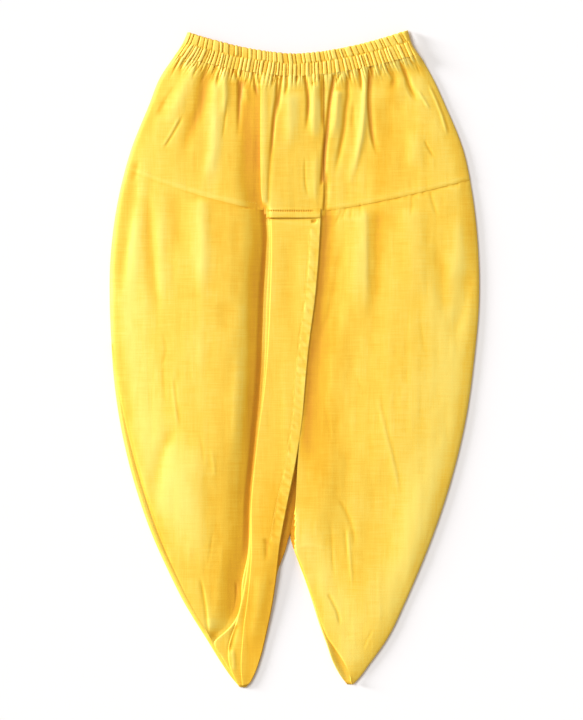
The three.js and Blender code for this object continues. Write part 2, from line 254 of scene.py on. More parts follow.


# ---------------- folds, placed one by one

# path from top to bottom, half widths on its left and right, rise (a trough is below zero), and the share
# of the path over which it fades in and out, 0.3 where none is given
Fold = namedtuple("Fold", "path left right rise fade_in fade_out", defaults=(0.3, 0.3))

YOKE_LEFT_FOLDS = [
    Fold([(-103, 286), (-107, 277), (-109, 266)], 1.6, 1.6, -1.0, 0, 0.7),
    Fold([(-112, 262), (-120, 250), (-127, 238), (-133, 227)], 2, 3, -0.4),
    Fold([(-124, 248), (-128, 228)], 5, 5, -0.3),
    Fold([(-93, 279), (-99, 268), (-112, 240), (-123, 214)], 7, 8, 1.4, 0.1, 0.5),
    Fold([(-80, 277), (-84, 262), (-89, 240), (-98, 218), (-105, 198), (-112, 180)], 6, 6, -1.2, 0, 0.6),
    Fold([(-105, 232), (-115, 214), (-125, 198)], 1.3, 1.3, -0.5, 0.25, 0.25),
    Fold([(-108, 232), (-118, 213), (-127, 199)], 1.3, 1.3, 0.3, 0.25, 0.25),
    Fold([(-72, 274), (-73, 264), (-75, 254)], 1.6, 1.8, -1.3, 0, 0.7),
    Fold([(-75, 268), (-74, 250), (-75, 220), (-78, 190), (-86, 160)], 6, 6, 1.2, 0.1, 0.3),
    Fold([(-67, 270), (-66, 246), (-68, 226)], 3.5, 3, 1.3, 0, 0.4),
    Fold([(-63, 250), (-66, 228), (-69, 205)], 1.2, 1.2, -0.4, 0.2, 0.3),
    Fold([(-62, 275), (-62, 266)], 1.3, 1.3, -0.9, 0, 0.7),
    Fold([(-56, 272), (-53, 260), (-53, 236), (-54, 205)], 1.8, 2, -1.4, 0, 0.6),
    Fold([(-50, 271), (-51, 256), (-52, 240)], 1.5, 2.4, -1.3, 0, 0.5),
    Fold([(-45, 272), (-46, 264), (-49, 256)], 1.4, 1.4, -1.1, 0, 0.6),
    Fold([(-47, 258), (-45, 238)], 3, 3, 0.6, 0.2, 0.5),
    Fold([(-39, 270), (-38, 260), (-35, 247)], 1.3, 1.6, -1.3, 0, 0.5),
    Fold([(-34, 269), (-33, 258)], 1.4, 1.4, -1.2, 0, 0.5),
    Fold([(-46, 236), (-48, 195), (-50, 150)], 5, 6, -0.5, 0.4, 0.4),
]
CENTRE_FOLDS = [
    Fold([(-29, 266), (-29.5, 230), (-29, 190), (-28, 150)], 3, 3, 0.3, 0, 0.3),
    Fold([(-21, 268), (-21, 262), (-22, 256)], 1.2, 1.4, -0.9, 0, 0.6),
    Fold([(-17, 268), (-17, 250), (-19, 235), (-21, 213), (-23, 186)], 1.5, 1.6, -1.6, 0, 0.4),
    Fold([(-13, 268), (-14, 255), (-16, 240), (-18, 225)], 1.4, 2, -1.6, 0, 0.5),
    Fold([(-21, 215), (-24, 180), (-25, 158), (-25, 144)], 1.6, 2, -0.5, 0.4, 0.1),
    Fold([(-7, 268), (-8, 258), (-10, 246)], 1.4, 1.8, -1.1, 0, 0.6),
    Fold([(-5, 255), (-4, 225), (-5, 195)], 6, 7, 0.9, 0.2, 0.4),
    Fold([(3, 267), (2, 261)], 1.2, 1.2, -0.7, 0, 0.7),
    Fold([(9, 268), (11, 259), (12.5, 246), (12, 230), (10, 212)], 1.7, 2.2, -1.6, 0, 0.5),
    Fold([(12, 267), (12, 256)], 1.2, 1.2, -0.8, 0, 0.6),
    Fold([(9.5, 194), (9.5, 172), (11, 160), (14, 150)], 1.2, 1.4, -0.35, 0.25, 0.3),
    Fold([(19, 262), (18.5, 235), (18, 205)], 4, 4, 1.1, 0.1, 0.3),
    Fold([(20, 200), (18.5, 165), (18, 146)], 4, 4, 0.6, 0.4, 0.3),
    Fold([(26, 268), (26, 240), (27, 215)], 1.8, 2.2, -1.0, 0, 0.3),
]
YOKE_RIGHT_FOLDS = [
    Fold([(37, 268), (35, 256), (33, 243), (31.5, 228), (30, 214), (28, 199), (26.5, 180), (25, 162)],
         1.6, 2.2, -2.0, 0, 0.1),
    Fold([(30, 180), (29.5, 163), (28, 148), (26, 134)], 1.4, 2.4, -0.8, 0.2, 0),
    Fold([(42, 269), (39, 260)], 1.3, 1.3, -1.1, 0, 0.6),
    Fold([(41, 256), (39.5, 240), (38, 222), (35, 205)], 3.5, 3.5, 1.3, 0.1, 0.4),
    Fold([(51, 271), (50, 260), (50, 249), (48, 236), (46, 217), (42, 195), (38, 172)],
         2.2, 3, -1.2, 0, 0.3),
    Fold([(56, 246), (54, 214)], 2.5, 2.5, -0.5, 0.3, 0.4),
    Fold([(61, 274), (63, 263), (64, 250)], 1.8, 1.4, -1.5, 0, 0.5),
    Fold([(67, 268), (66.5, 250), (65.5, 233), (63.5, 215), (60, 196), (55, 177), (48, 156)],
         4, 2.6, 1.3, 0, 0.5),
    Fold([(70.5, 276), (70, 262), (69.5, 245), (70.5, 230), (72.5, 213), (76, 199), (80, 190)],
         1.2, 3, -1.7, 0, 0.35),
    Fold([(74, 276), (73, 264)], 1.4, 1.4, -1.2, 0, 0.6),
    Fold([(82, 277), (82, 267)], 1.3, 1.3, -0.8, 0, 0.6),
    Fold([(86, 280), (89, 273), (94, 266)], 1.4, 1.8, -1.1, 0, 0.6),
    Fold([(91, 280), (94, 268), (93, 254)], 3, 4, -1.1, 0, 0.4),
    Fold([(91, 252), (91, 195)], 13, 13, -0.8, 0.3, 0.4),
    Fold([(98, 284), (104, 272), (110, 256), (118, 241)], 1.8, 2.6, -1.7, 0, 0.4),
    Fold([(104, 266), (108, 254), (114, 244)], 1.2, 1.2, -0.5),
    Fold([(106, 287), (110, 283), (115, 277)], 1.2, 1.2, -1.3, 0, 0.4),
    Fold([(116, 256), (122, 246), (128, 236)], 1.2, 1.2, 0.5, 0.25, 0.25),
    Fold([(126, 262), (134, 245), (140, 229), (145, 211)], 1.4, 1.2, 0.7, 0.2, 0.2),
    Fold([(128, 262), (136, 245), (142, 229), (147, 211)], 1.3, 1.6, -0.5, 0.2, 0.2),
    Fold([(122, 209), (127, 199), (133, 190)], 1.2, 1.2, -0.45, 0.25, 0.25),
    Fold([(112, 222), (113, 196), (112, 174)], 8, 9, 0.9, 0.4, 0.4),
]
LEG_RIGHT_FOLDS = [
    Fold([(28, 132), (26, 110), (24.5, 90), (22, 60), (17.5, 25), (14, -5), (11, -40), (9, -75),
          (3, -105)], 4, 16, -1.5, 0, 0.4),
    Fold([(45, 112), (41, 90), (36, 62), (33, 46), (26, 26), (19, 4)], 3.5, 4, -0.4, 0.2, 0.3),
    Fold([(34, 122), (31, 104), (29, 84), (27, 68)], 1.8, 2.2, 0.3, 0.2, 0.3),
    Fold([(57, 130), (56, 100), (54, 60), (46, 24), (39, -2), (36, -40), (30, -80)],
         9, 12, 0.8, 0.15, 0.3),
    Fold([(66, 145), (66.5, 120), (66.5, 90), (66.5, 62), (64.5, 30)], 12, 3.5, 1.1, 0.1, 0.5),
    Fold([(78, 144), (79, 110), (78, 70), (76, 20)], 6, 13, -0.9, 0.1, 0.5),
    Fold([(110, 146), (112, 100), (112, 50)], 11, 12, 0.9, 0.1, 0.4),
    Fold([(134, 118), (137, 90), (140, 58), (145, 28)], 6, 7, -0.6, 0.3, 0.35),
    Fold([(155, 140), (155, 100), (152, 70)], 7, 7, 0.7),
    Fold([(168, 92), (163, 66), (158, 44), (152, 24), (152, 4)], 8, 6, -0.9, 0.25, 0.35),
    Fold([(128, 159), (131, 147), (135, 134)], 1.3, 1.6, -0.8, 0.05, 0.3),
    Fold([(110, 154), (110.5, 146), (109, 132)], 1.2, 1.6, -0.5, 0.1, 0.4),
    Fold([(119, 36), (121, 20), (123, 4)], 1.2, 1.2, -0.4),
    Fold([(62, 146), (63, 132)], 1.2, 1.2, -0.6, 0, 0.5),
    Fold([(48, 142), (43, 130)], 1.2, 1.3, -0.7, 0, 0.5),
    Fold([(44, 140), (37, 126)], 1.3, 1.3, -0.7, 0, 0.5),
    Fold([(54, 143), (52, 130)], 1.2, 1.2, -0.6, 0, 0.5),
    Fold([(58, -16), (61, -23), (64, -30)], 1.1, 1.1, -0.4),
    Fold([(78, -34), (86, -70), (94, -102), (100, -136)], 2.4, 1.2, 0.42, 0.15, 0.3),
    Fold([(80.5, -34), (88.5, -70), (96.5, -102), (103, -136)], 1.2, 2.4, -0.36, 0.15, 0.3),
    Fold([(30, -46), (32, -64), (34, -82)], 1.2, 1.2, -0.35),
    Fold([(32, -60), (28, -110), (22, -150), (20, -190)], 14, 16, 1.2),
    Fold([(39, -130), (47, -142), (53, -156), (56, -168), (57, -181)], 1.6, 2.2, -0.8, 0.2, 0.25),
    Fold([(50, -158), (52, -188), (54.5, -219)], 1.5, 1.5, 0.7, 0.15, 0.3),
    Fold([(47.5, -160), (49.5, -190)], 1.4, 1.2, -0.5, 0.2, 0.3),
    Fold([(2, -178), (15, -176.5), (35, -179.5)], 1.6, 1.6, 0.5, 0.1, 0.4),
    Fold([(33.5, -150), (35.5, -188), (38, -210)], 1.4, 1.6, -0.5, 0.2, 0.3),
    Fold([(31, -222), (37, -233), (41, -243), (43, -255)], 1.4, 2, -1.0, 0.1, 0.25),
    Fold([(24, -190), (30, -222), (40, -262)], 7, 7, 0.35),
    Fold([(46, -262), (64, -260)], 1.6, 1.6, -0.35),
    Fold([(74, -256), (69, -265), (64, -276)], 1.3, 1.3, -0.3, 0.25, 0.25),
    Fold([(77, -256), (72, -265), (66, -276)], 1.4, 1.4, 0.15, 0.25, 0.25),
    Fold([(128, -160), (125.5, -174), (124, -184)], 1.2, 1.2, -0.5, 0.25, 0.25),
    Fold([(135, -146), (133, -156), (131, -167)], 1.1, 1.1, -0.45, 0.25, 0.25),
    Fold([(86, -77), (81, -150), (73, -230)], 18, 20, -0.9, 0.35, 0.35),
    Fold([(128, -100), (115, -160), (100, -220)], 14, 14, 1.0),
]
LEG_LEFT_FOLDS = [
    Fold([(-151, 178), (-155, 150), (-158, 122), (-162, 100), (-166, 68), (-170, 54)],
         8, 5, -0.8, 0.15, 0.3),
    Fold([(-149, 190), (-151, 178), (-154, 166)], 4, 2.5, -0.7),
    Fold([(-139, 166), (-138, 130), (-136, 100), (-133, 70), (-130, 45), (-127, 20)],
         6, 4, -0.8, 0.2, 0.35),
    Fold([(-128, 146), (-127, 110), (-124, 70), (-122, 40)], 5, 6, 0.6, 0.2, 0.4),
    Fold([(-150, 150), (-151, 110), (-152, 60)], 6, 6, 0.8, 0.3, 0.4),
    Fold([(-113, 165), (-112, 130), (-110, 90)], 7, 8, -0.9, 0.25, 0.4),
    Fold([(-89, 156), (-87, 120), (-87, 80), (-88, 50)], 9, 8, 1.2, 0.1, 0.4),
    Fold([(-66, 60), (-66, 20)], 8, 9, -0.7, 0.35, 0.35),
    Fold([(-126, 26), (-122, 9), (-127, -10)], 1.5, 1.5, -0.4, 0.25, 0.25),
    Fold([(-125, -6), (-122.5, -44)], 1.4, 1.4, -0.35, 0.25, 0.25),
    Fold([(-117, -13), (-113.5, -45), (-110.5, -65)], 1.4, 1.4, 0.5, 0.25, 0.2),
    Fold([(-114, -16), (-111, -45), (-108, -64)], 1.4, 1.4, -0.4, 0.25, 0.25),
    Fold([(-111, -60), (-119, -74), (-126, -90), (-129.5, -107), (-131, -125), (-132, -144)],
         7, 6, -1.0, 0.2, 0.4),
    Fold([(-90, -68), (-87, -90), (-86.5, -102)], 1.3, 1.3, -0.35),
    Fold([(-79, -84), (-75.5, -113)], 1.6, 1.6, 0.45),
    Fold([(-77, -160), (-80, -180), (-83, -198)], 1.5, 1.5, -0.35),
    Fold([(-50, 10), (-54, -40), (-56, -100)], 9, 8, 0.9, 0.4, 0.4),
    Fold([(-102, -70), (-100, -130), (-88, -205)], 18, 20, 1.5),
    Fold([(-90.5, -204), (-87, -221), (-84, -242), (-82.5, -264)], 2.2, 1.4, -1.3, 0.25, 0.15),
    Fold([(-86, -214), (-82, -240), (-77, -262)], 3, 4, 0.35, 0.3, 0.2),
    Fold([(-52, -170), (-58, -225), (-66, -256)], 13, 8, -0.6, 0.5, 0.15),
    Fold([(-56, -210), (-55.5, -228), (-57, -246)], 1.3, 1.6, -1.2, 0.2, 0.2),
]
STRIP_FOLDS = [
    Fold([(-6, -30), (-9, -75)], 7, 7, 0.2),
    Fold([(-4, 120), (-9, 20)], 9, 9, -0.3, 0.2, 0.3),
    Fold([(15, 130.6), (18, 130.2), (21, 131.2)], 1.1, 1.1, -1.2, 0.2, 0.2),
    Fold([(-27, -168), (-27, -192)], 2.4, 3, -0.4),
    Fold([(-31, -170), (-20, -178)], 2, 2, -0.22),
    Fold([(-19, -212), (-25, -213)], 1.6, 1.6, -0.15),
    Fold([(-32, -196), (-36, -235), (-42, -275)], 6, 8, 0.7),
    Fold([(-55, -251), (-59, -264), (-63, -281)], 1.6, 2.4, -0.9, 0.1, 0.25),
    Fold([(-60, -274), (-58, -288), (-59, -298)], 1.8, 1.8, 0.4, 0.2, 0.3),
]
BACK_FOLDS = [
    Fold([(-110, 264), (-138, 200)], 7, 7, 0.5, 0, 0.5),
    Fold([(-76, 256), (-86, 180)], 6, 6, 0.6, 0, 0.5),
    Fold([(-31, 252), (-31, 170)], 5, 6, 0.6, 0, 0.5),
    Fold([(5, 252), (8, 160)], 6, 5, 0.6, 0, 0.5),
    Fold([(52, 256), (58, 170)], 6, 6, 0.6, 0, 0.5),
    Fold([(100, 264), (124, 200)], 7, 7, 0.5, 0, 0.5),
    Fold([(-124, 142), (-128, 0)], 12, 12, 0.6, 0.2, 0.4),
    Fold([(-76, 132), (-69, -58)], 13, 13, 0.7, 0.2, 0.4),
    Fold([(-31, 114), (-38, -134)], 10, 10, 0.6, 0.2, 0.3),
    Fold([(33, 124), (38, -68)], 12, 12, 0.7, 0.2, 0.4),
    Fold([(90, 138), (98, -20)], 13, 13, 0.6, 0.2, 0.4),
    Fold([(133, 132), (138, -10)], 9, 9, 0.5, 0.2, 0.4),
    Fold([(-109, -68), (-86, -190)], 14, 14, 0.6),
    Fold([(100, -68), (86, -200)], 14, 14, 0.6),
    Fold([(38, -134), (52, -230)], 8, 8, 0.5),
]
# how each half of the garment swells between its side fold and the strip
SWELLS = [
    Fold([(-70, 200), (-72, 60), (-78, -60), (-80, -180)], 62, 40, 3.4),
    Fold([(92, 210), (96, 60), (88, -60), (74, -180)], 50, 45, 1.4),
]


def pressed(folds, widest, share):
    """The same folds with the narrow ones pressed flatter."""
    return [fold._replace(rise=fold.rise * share) if max(fold.left, fold.right) <= widest else fold
            for fold in folds]


# folds up to this wide are pressed flatter, and the legs' narrowest ones once more
WIDEST_PRESSED, NARROWEST = 20, 2.5
LEFT_YOKE_SHARE, CENTRE_SHARE, RIGHT_YOKE_SHARE, LEG_SHARE = 0.65, 0.72, 0.7, 0.6
LEG_FOLDS = pressed(LEG_RIGHT_FOLDS + LEG_LEFT_FOLDS, NARROWEST, LEG_SHARE)
FRONT_FOLDS = (SWELLS + pressed(YOKE_LEFT_FOLDS, WIDEST_PRESSED, LEFT_YOKE_SHARE)
               + pressed(CENTRE_FOLDS, WIDEST_PRESSED, CENTRE_SHARE)
               + pressed(YOKE_RIGHT_FOLDS, WIDEST_PRESSED, RIGHT_YOKE_SHARE)
               + pressed(LEG_FOLDS, WIDEST_PRESSED, LEG_SHARE))

# painted shade, where the cloth's colour is deepened for the shade of a fold beside it, and painted
# highlight, with a rise below zero, where it is paled for facing the light
SHADES = [
    Fold([(-48, 262), (-46, 200), (-43, 140), (-42, 80), (-43, 0), (-46, -60)], 24, 12, 0.45, 0.35, 0.3),
    Fold([(-43, 10), (-45, -40), (-50, -120), (-54, -180), (-58, -225), (-67, -258)],
         22, 10, 0.45, 0.3, 0.1),
    Fold([(-87, 268), (-92, 238), (-106, 190)], 7, 8, 0.35, 0, 0.5),
    Fold([(-52, 266), (-48, 242), (-45, 215), (-41, 185), (-38, 160)], 8, 11, 0.5, 0.05, 0.5),
    Fold([(92, 266), (92, 236)], 7, 7, 0.35, 0.2, 0.4),
    Fold([(-33.5, 260), (-33.5, 215), (-33, 165)], 5, 2, 0.5, 0.05, 0.3),
    Fold([(-32, 60), (-35, -28), (-39.5, -78), (-45, -136), (-46.5, -186), (-50, -206)],
         3, 3, 0.6, 0.25, 0.15),
    Fold([(30, 134), (27, 95), (21, 45), (15, 0), (11, -60), (6, -112)], 5, 7, 0.62, 0, 0.2),
    Fold([(35, 258), (32, 215), (29, 160)], 3, 5, 0.4, 0.1, 0.1),
    Fold([(76, 262), (80, 200), (80, 120), (78, 40)], 7, 12, 0.22, 0.2, 0.4),
    Fold([(140, 100), (148, 40)], 7, 7, 0.2),
    Fold([(48, 90), (42, 40), (31, -20), (26, -70), (24, -130), (28, -185)], 14, 18, 0.34),
    Fold([(-152, 140), (-160, 60), (-142, -60), (-110, -175)], 15, 18, -0.25, 0.2, 0.2),
    Fold([(145, 130), (148, 20), (126, -110), (96, -205), (68, -280)], 20, 20, -0.28, 0.2, 0.1),
    Fold([(17, -176), (30, -205), (48, -240), (56, -295)], 14, 14, -0.27, 0, 0.1),
    Fold([(-75, 250), (-76, 195), (-80, 140)], 8, 8, -0.3, 0.2, 0.3),
    Fold([(-118, -60), (-108, -130), (-96, -190)], 16, 16, -0.25),
]
# painted shade on the centre panel, and painted highlight where the rise is below zero
CENTRE_SHADES = [
    Fold([(-20, 240), (-24, 180)], 4, 4, 0.3),
    Fold([(0, 256), (0, 214)], 6, 6, -0.3, 0.2, 0.3),
    Fold([(22, 250), (22, 205)], 3, 4, -0.3, 0.2, 0.3),
]
# painted shade on the strip's pleats
STRIP_SHADES = [
    Fold([(-31.5, 30), (-33.5, -28), (-38, -78), (-43.5, -136), (-45, -186)], 1.5, 1.8, 0.5, 0.2, 0.1),
    Fold([(-12, -90), (-22, -180), (-34, -250), (-44, -300)], 17, 14, 0.3, 0.3, 0),
]

ROUNDING_STEPS = 4
FOLD_REACH = 3


def eased(t):
    t = np.clip(t, 0, 1)
    return t * t * (3 - 2 * t)


def ramp(at, start, end):
    """0 up to `start`, 1 from `end` on, and eased in between."""
    return eased((at - start) / (end - start))


def close_to(distance, reach):
    """1 on a line, fading to 0 on both sides of it."""
    return np.exp(-(distance / reach) ** 2)


def rounded_path(points):
    """The path's corners rounded by a Catmull-Rom curve."""
    points = np.array(points, float)
    padded = np.vstack([2 * points[0] - points[1], points, 2 * points[-1] - points[-2]])
    out = []
    for i in range(1, len(padded) - 2):
        before, start, end, after = padded[i - 1:i + 3]
        for t in np.arange(ROUNDING_STEPS) / ROUNDING_STEPS:
            bend = (2 * before - 5 * start + 4 * end - after) * t ** 2
            twist = (3 * start - before - 3 * end + after) * t ** 3
            out.append(0.5 * (2 * start + (end - before) * t + bend + twist))
    out.append(points[-1])
    return np.array(out)


def nearest_on_path(path, x, y):
    """Distance to the path, which side of it (above zero on its right), and the share of it run so far."""
    away = np.full(x.shape, np.inf)
    side = np.zeros(x.shape)
    along = np.zeros(x.shape)
    run = 0.0
    for (ax, ay), (bx, by) in zip(path[:-1], path[1:]):
        dx, dy = bx - ax, by - ay
        length = math.hypot(dx, dy)
        t = np.clip(((x - ax) * dx + (y - ay) * dy) / length ** 2, 0, 1)
        here = np.hypot(x - ax - t * dx, y - ay - t * dy)
        closer = here < away
        away = np.where(closer, here, away)
        side = np.where(closer, dx * (y - ay) - dy * (x - ax), side)
        along = np.where(closer, run + t * length, along)
        run += length
    return away, side, along / run


def fold_height(folds, x, y):
    """The height that a table of folds gives the cloth at each point."""
    total = np.zeros(x.shape)
    for fold in folds:
        path = rounded_path(fold.path)
        reach = FOLD_REACH * max(fold.left, fold.right)
        low, high = path.min(axis=0) - reach, path.max(axis=0) + reach
        near = (x > low[0]) & (x < high[0]) & (y > low[1]) & (y < high[1])
        if not near.any():
            continue
        away, side, share = nearest_on_path(path, x[near], y[near])
        width = np.where(side > 0, fold.right, fold.left)
        strength = np.full(away.shape, float(fold.rise))
        if fold.fade_in:
            strength *= eased(share / fold.fade_in)
        if fold.fade_out:
            strength *= eased((1 - share) / fold.fade_out)
        total[near] += strength * close_to(away, width)
    return total


# soft random waves: how high they are, how wide and how tall each one is, and the seed of their draws
Waves = namedtuple("Waves", "high wide tall seed")
LATTICE_MARGIN = 400
FINE_WAVES = [
    Waves(0.08, 26, 60, 3),
    Waves(0.055, 11, 30, 4),
    Waves(0.07, 8, 130, 12),
    Waves(0.035, 3, 70, 13),
    Waves(0.05, 5, 12, 5),
    Waves(0.03, 14, 4, 6),
]


def unevenness(x, y, waves):
    """The height of soft random waves at each point, between -waves.high and waves.high."""
    draw = np.random.default_rng(waves.seed)
    u = (x + LATTICE_MARGIN) / waves.wide
    v = (y + LATTICE_MARGIN) / waves.tall
    cells = (int(2 * LATTICE_MARGIN / waves.tall) + 2, int(2 * LATTICE_MARGIN / waves.wide) + 2)
    lattice = draw.uniform(-1, 1, cells)
    i, j = v.astype(int), u.astype(int)
    a, b = eased(v - i), eased(u - j)
    near = lattice[i, j] * (1 - b) + lattice[i, j + 1] * b
    far = lattice[i + 1, j] * (1 - b) + lattice[i + 1, j + 1] * b
    return waves.high * (near * (1 - a) + far * a)


def small_creases(x, y):
    return sum(unevenness(x, y, waves) for waves in FINE_WAVES)


TUCKS_SEED = 11
TUCKS_FROM, TUCKS_TO = -114.0, 118
TUCK_OVER_FOOT = 1.5
TUCK_LENGTHS = (10, 26)
TUCKS_FAN = 0.0042
TUCK_LEANS = (-0.08, 0.08)
TUCK_HALVES = (0.9, 1.4)
TUCK_DEPTHS = (0.3, 0.9)
TUCK_FADE = 0.85
TUCK_SPACINGS = (6, 12)


def gathers_under_band():
    """Short uneven tucks that hang from the band's lower stitching and fan out to the sides."""
    draw = np.random.default_rng(TUCKS_SEED)
    tucks = []
    x = TUCKS_FROM
    while x < TUCKS_TO:
        top = float(band_foot(x)) + TUCK_OVER_FOOT
        length = draw.uniform(*TUCK_LENGTHS)
        lean = TUCKS_FAN * x + draw.uniform(*TUCK_LEANS)
        half = draw.uniform(*TUCK_HALVES)
        path = [(x, top), (x + lean * length, top - length)]
        tucks.append(Fold(path, half, half, -draw.uniform(*TUCK_DEPTHS), 0, TUCK_FADE))
        x += draw.uniform(*TUCK_SPACINGS)
    return tucks


BAND_TUCKS = gathers_under_band()

# ---------------- the waistband's pleats

BAND_TALL = 21.0
HEADER_SHARE = 0.45
CREASES_REACH = 135.0
PLEAT_RISES = (0.74, 1.12)
CREASE_DEPTH, SHALLOWEST_CREASE = 0.8, 0.45
CREASE_LEANS = Waves(0.14, 15, 200, 23)
BAND_LOW, BAND_CROWN, BAND_CROWN_REACH = 3.0, 1.4, 9


def crease_row(narrowest, widest, seed):
    """Where one row's creases fall at its middle, and how high each pleat between them stands."""
    draw = np.random.default_rng(seed)
    creases = [-CREASES_REACH]
    while creases[-1] < CREASES_REACH:
        creases.append(creases[-1] + draw.uniform(narrowest, widest))
    return np.array(creases), draw.uniform(*PLEAT_RISES, len(creases))


# a row of pleats: how high it stands, how far its middle is above the band's foot, how it leans and fans
# out, how flat its pleats are, how its creases fade from place to place, and where they fall
PleatRow = namedtuple("PleatRow", "rise middle lean fan flatness fading creases")
HEADER = PleatRow(1.6, BAND_TALL * (1 - HEADER_SHARE / 2), 0.12, 0.004, 7.0,
                  Waves(0.45, 2.4, 7, 25), crease_row(2.3, 6.6, 21))
CHANNEL = PleatRow(1.8, BAND_TALL * (1 - HEADER_SHARE) / 2, -0.04, 0.0045, 5.0,
                   Waves(0.45, 2.4, 7, 26), crease_row(1.9, 4.4, 22))


def pleated(x, row, flatness, depth=1.0):
    """Pleats between sharp creases: up to about 1 on a pleat, and 0 in a crease of full depth."""
    creases, rises = row.creases
    i = np.clip(np.searchsorted(creases, x) - 1, 0, len(creases) - 2)
    q = (x - creases[i]) / (creases[i + 1] - creases[i])
    return rises[i] * (1 - depth * np.abs(2 * q - 1) ** flatness)


def pleats(x, y, row):
    """The height of one row's pleats. Some of its creases fade out before the row's edge."""
    above = y - band_foot(x) - row.middle
    lean = row.lean + row.fan * x + unevenness(x, y, CREASE_LEANS)
    depth = np.clip(CREASE_DEPTH + unevenness(x, y, row.fading), SHALLOWEST_CREASE, 1)
    return row.rise * pleated(x + lean * above, row, row.flatness, depth)


def crowned(inside, reach):
    """0 at the side folds, and close to 1 further in."""
    return 1 - np.exp(-inside / reach)


def band_level(inside):
    """The bottom of the band's creases over the surface, lower towards both ends."""
    return BAND_LOW + BAND_CROWN * crowned(inside, BAND_CROWN_REACH)


# ---------------- how high the cloth lies, in millimetres

# a pair in brackets is where along the garment something starts, and where it is complete
WALL = 0.45
SIDE_EDGE = 0.55
FRONT_LOW = 1.0
FRONT_LEVEL = 2.2
LEFT_CROWN, LEFT_CROWN_REACH = 3.4, 22
RIGHT_CROWN, RIGHT_CROWN_REACH = 1.7, 16
CROWNS_MEET = (-30, 60)
FOOT_FLATTENING, FOOT_FLATTENS = 0.85, (-140, -250)
RIGHT_SIDE_DROP, RIGHT_DROP_REACH, RIGHT_DROP_STARTS = 1.1, 7, (-10, 20)
BAND_JOIN = 8
BAND_STEP = 0.12
GATHERS_RUN = 9
LEFT_ROUND, RIGHT_ROUND = 4.5, 2.6
STRIP_DIP, STRIP_DIP_REACH, STRIP_DIP_STARTS = 2.3, 26, (235, 145)
FLOOR_SOFTNESS = 1.6
BACK_WAVES = Waves(0.12, 20, 44, 8)
BACK_ROUND = 10
BASE_PLEAT, MIDDLE_PLEAT, TOP_PLEAT = 2.9, 3.8, 4.8
TIP_THINS = (-150, -280)


def rounded_edge(distance, radius):
    """0 at the edge and 1 from `radius` inwards, as a quarter round."""
    q = np.clip(distance / radius, 0, 1)
    return np.sqrt(1 - (1 - q) ** 2)


def from_sides(x, y):
    return np.minimum(x - left_side(y), right_side(y) - x)


def front_cloth(x, y):
    """The front panels' height over the surface, before their own edges are turned."""
    inside = np.clip(from_sides(x, y), 0, None)
    below_band = np.clip(band_foot(x) - y, 0, None)
    left_crown = LEFT_CROWN * crowned(inside, LEFT_CROWN_REACH)
    left_crown *= 1 - FOOT_FLATTENING * ramp(y, *FOOT_FLATTENS)
    right_crown = RIGHT_CROWN * crowned(inside, RIGHT_CROWN_REACH)
    height = FRONT_LEVEL + left_crown + (right_crown - left_crown) * ramp(x, *CROWNS_MEET)
    height -= RIGHT_SIDE_DROP * np.exp(-inside / RIGHT_DROP_REACH) * ramp(x, *RIGHT_DROP_STARTS)
    height += (band_level(inside) - BAND_STEP - height) * close_to(below_band, BAND_JOIN)
    height += pleats(x, y, CHANNEL) * close_to(below_band, GATHERS_RUN)
    height += fold_height(FRONT_FOLDS, x, y) + fold_height(BAND_TUCKS, x, y) + small_creases(x, y)
    height = FRONT_LOW + np.logaddexp(0, (height - FRONT_LOW) * FLOOR_SOFTNESS) / FLOOR_SOFTNESS
    radius = np.where(x < 0, LEFT_ROUND, RIGHT_ROUND)
    return SIDE_EDGE + (height - SIDE_EDGE) * rounded_edge(inside, radius)


def dip_beside_strip(x, y):
    """How far the left half's front dips towards the centre panel and the strip."""
    edge = np.where(y > TAB_TOP, centre_left_edge(y), left_front_hem(y))
    return STRIP_DIP * (1 - eased((edge - x) / STRIP_DIP_REACH)) * ramp(y, *STRIP_DIP_STARTS) * (x < 0)


def back_cloth(x, y):
    """The back panels' height: they touch the surface, apart from low ripples."""
    inside = from_sides(x, y)
    ripples = fold_height(BACK_FOLDS, x, y) + unevenness(x, y, BACK_WAVES)
    return np.clip(ripples, 0, None) * rounded_edge(inside, BACK_ROUND)


def towards_tip(y):
    """0 up the strip and 1 near the left leg's tip, where the layers thin out."""
    return ramp(y, *TIP_THINS)


# ---------------- cotton and thread

# the darkest tone is painted shade in hollows and the palest is painted highlight on ridges; the middle
# three are also the weave's own random tone
PAINTED_SHADE_TONE = (0.79, 0.335, 0.001, 1)
DEEP_TONE = (0.92, 0.50, 0.006, 1)
MID_TONE = (0.98, 0.64, 0.05, 1)
PALE_TONE = (1.0, 0.75, 0.12, 1)
PAINTED_HIGHLIGHT_TONE = (1.0, 0.83, 0.19, 1)
THREAD_TONE = (0.95, 0.66, 0.10, 1)
NAP_TONE = (1.0, 0.9, 0.55, 1)
THREAD_PITCH = 0.45 * MM
# the tones along the cotton's pattern, and how much each part of the pattern counts in it
COTTON_TONES = [(0.12, PAINTED_SHADE_TONE), (0.36, DEEP_TONE), (0.5, MID_TONE), (0.64, PALE_TONE),
                (0.85, PAINTED_HIGHLIGHT_TONE)]
WEFT_SHARE, WARP_SHARE, WASH_SHARE = 0.2, 0.14, 0.24
# how far the painted shade deepens the colour in hollows, and the painted highlight pales it on ridges
PAINTED_SHADE_AND_HIGHLIGHT_SHARE = -0.42
EVEN_TONE = 0.21
# how the noise is stretched along the threads, and across the washed patches
WEFT_STRETCH, WARP_STRETCH, WASH_STRETCH = (45, 1100, 1), (900, 40, 1), (26, 18, 1)
WEAVE_BUMP, WEFT_BUMP, WARP_BUMP = 0.12, 0.6, 0.35
CLOTH_BUMP_STRENGTH, CLOTH_BUMP = 0.5, 0.3 * MM
FUZZ_STRETCH = (2600, 2600, 2600)
THREAD_TONES = [(0.3, MID_TONE), (0.7, THREAD_TONE)]
THREAD_BUMP_STRENGTH, THREAD_BUMP = 0.4, 0.1 * MM


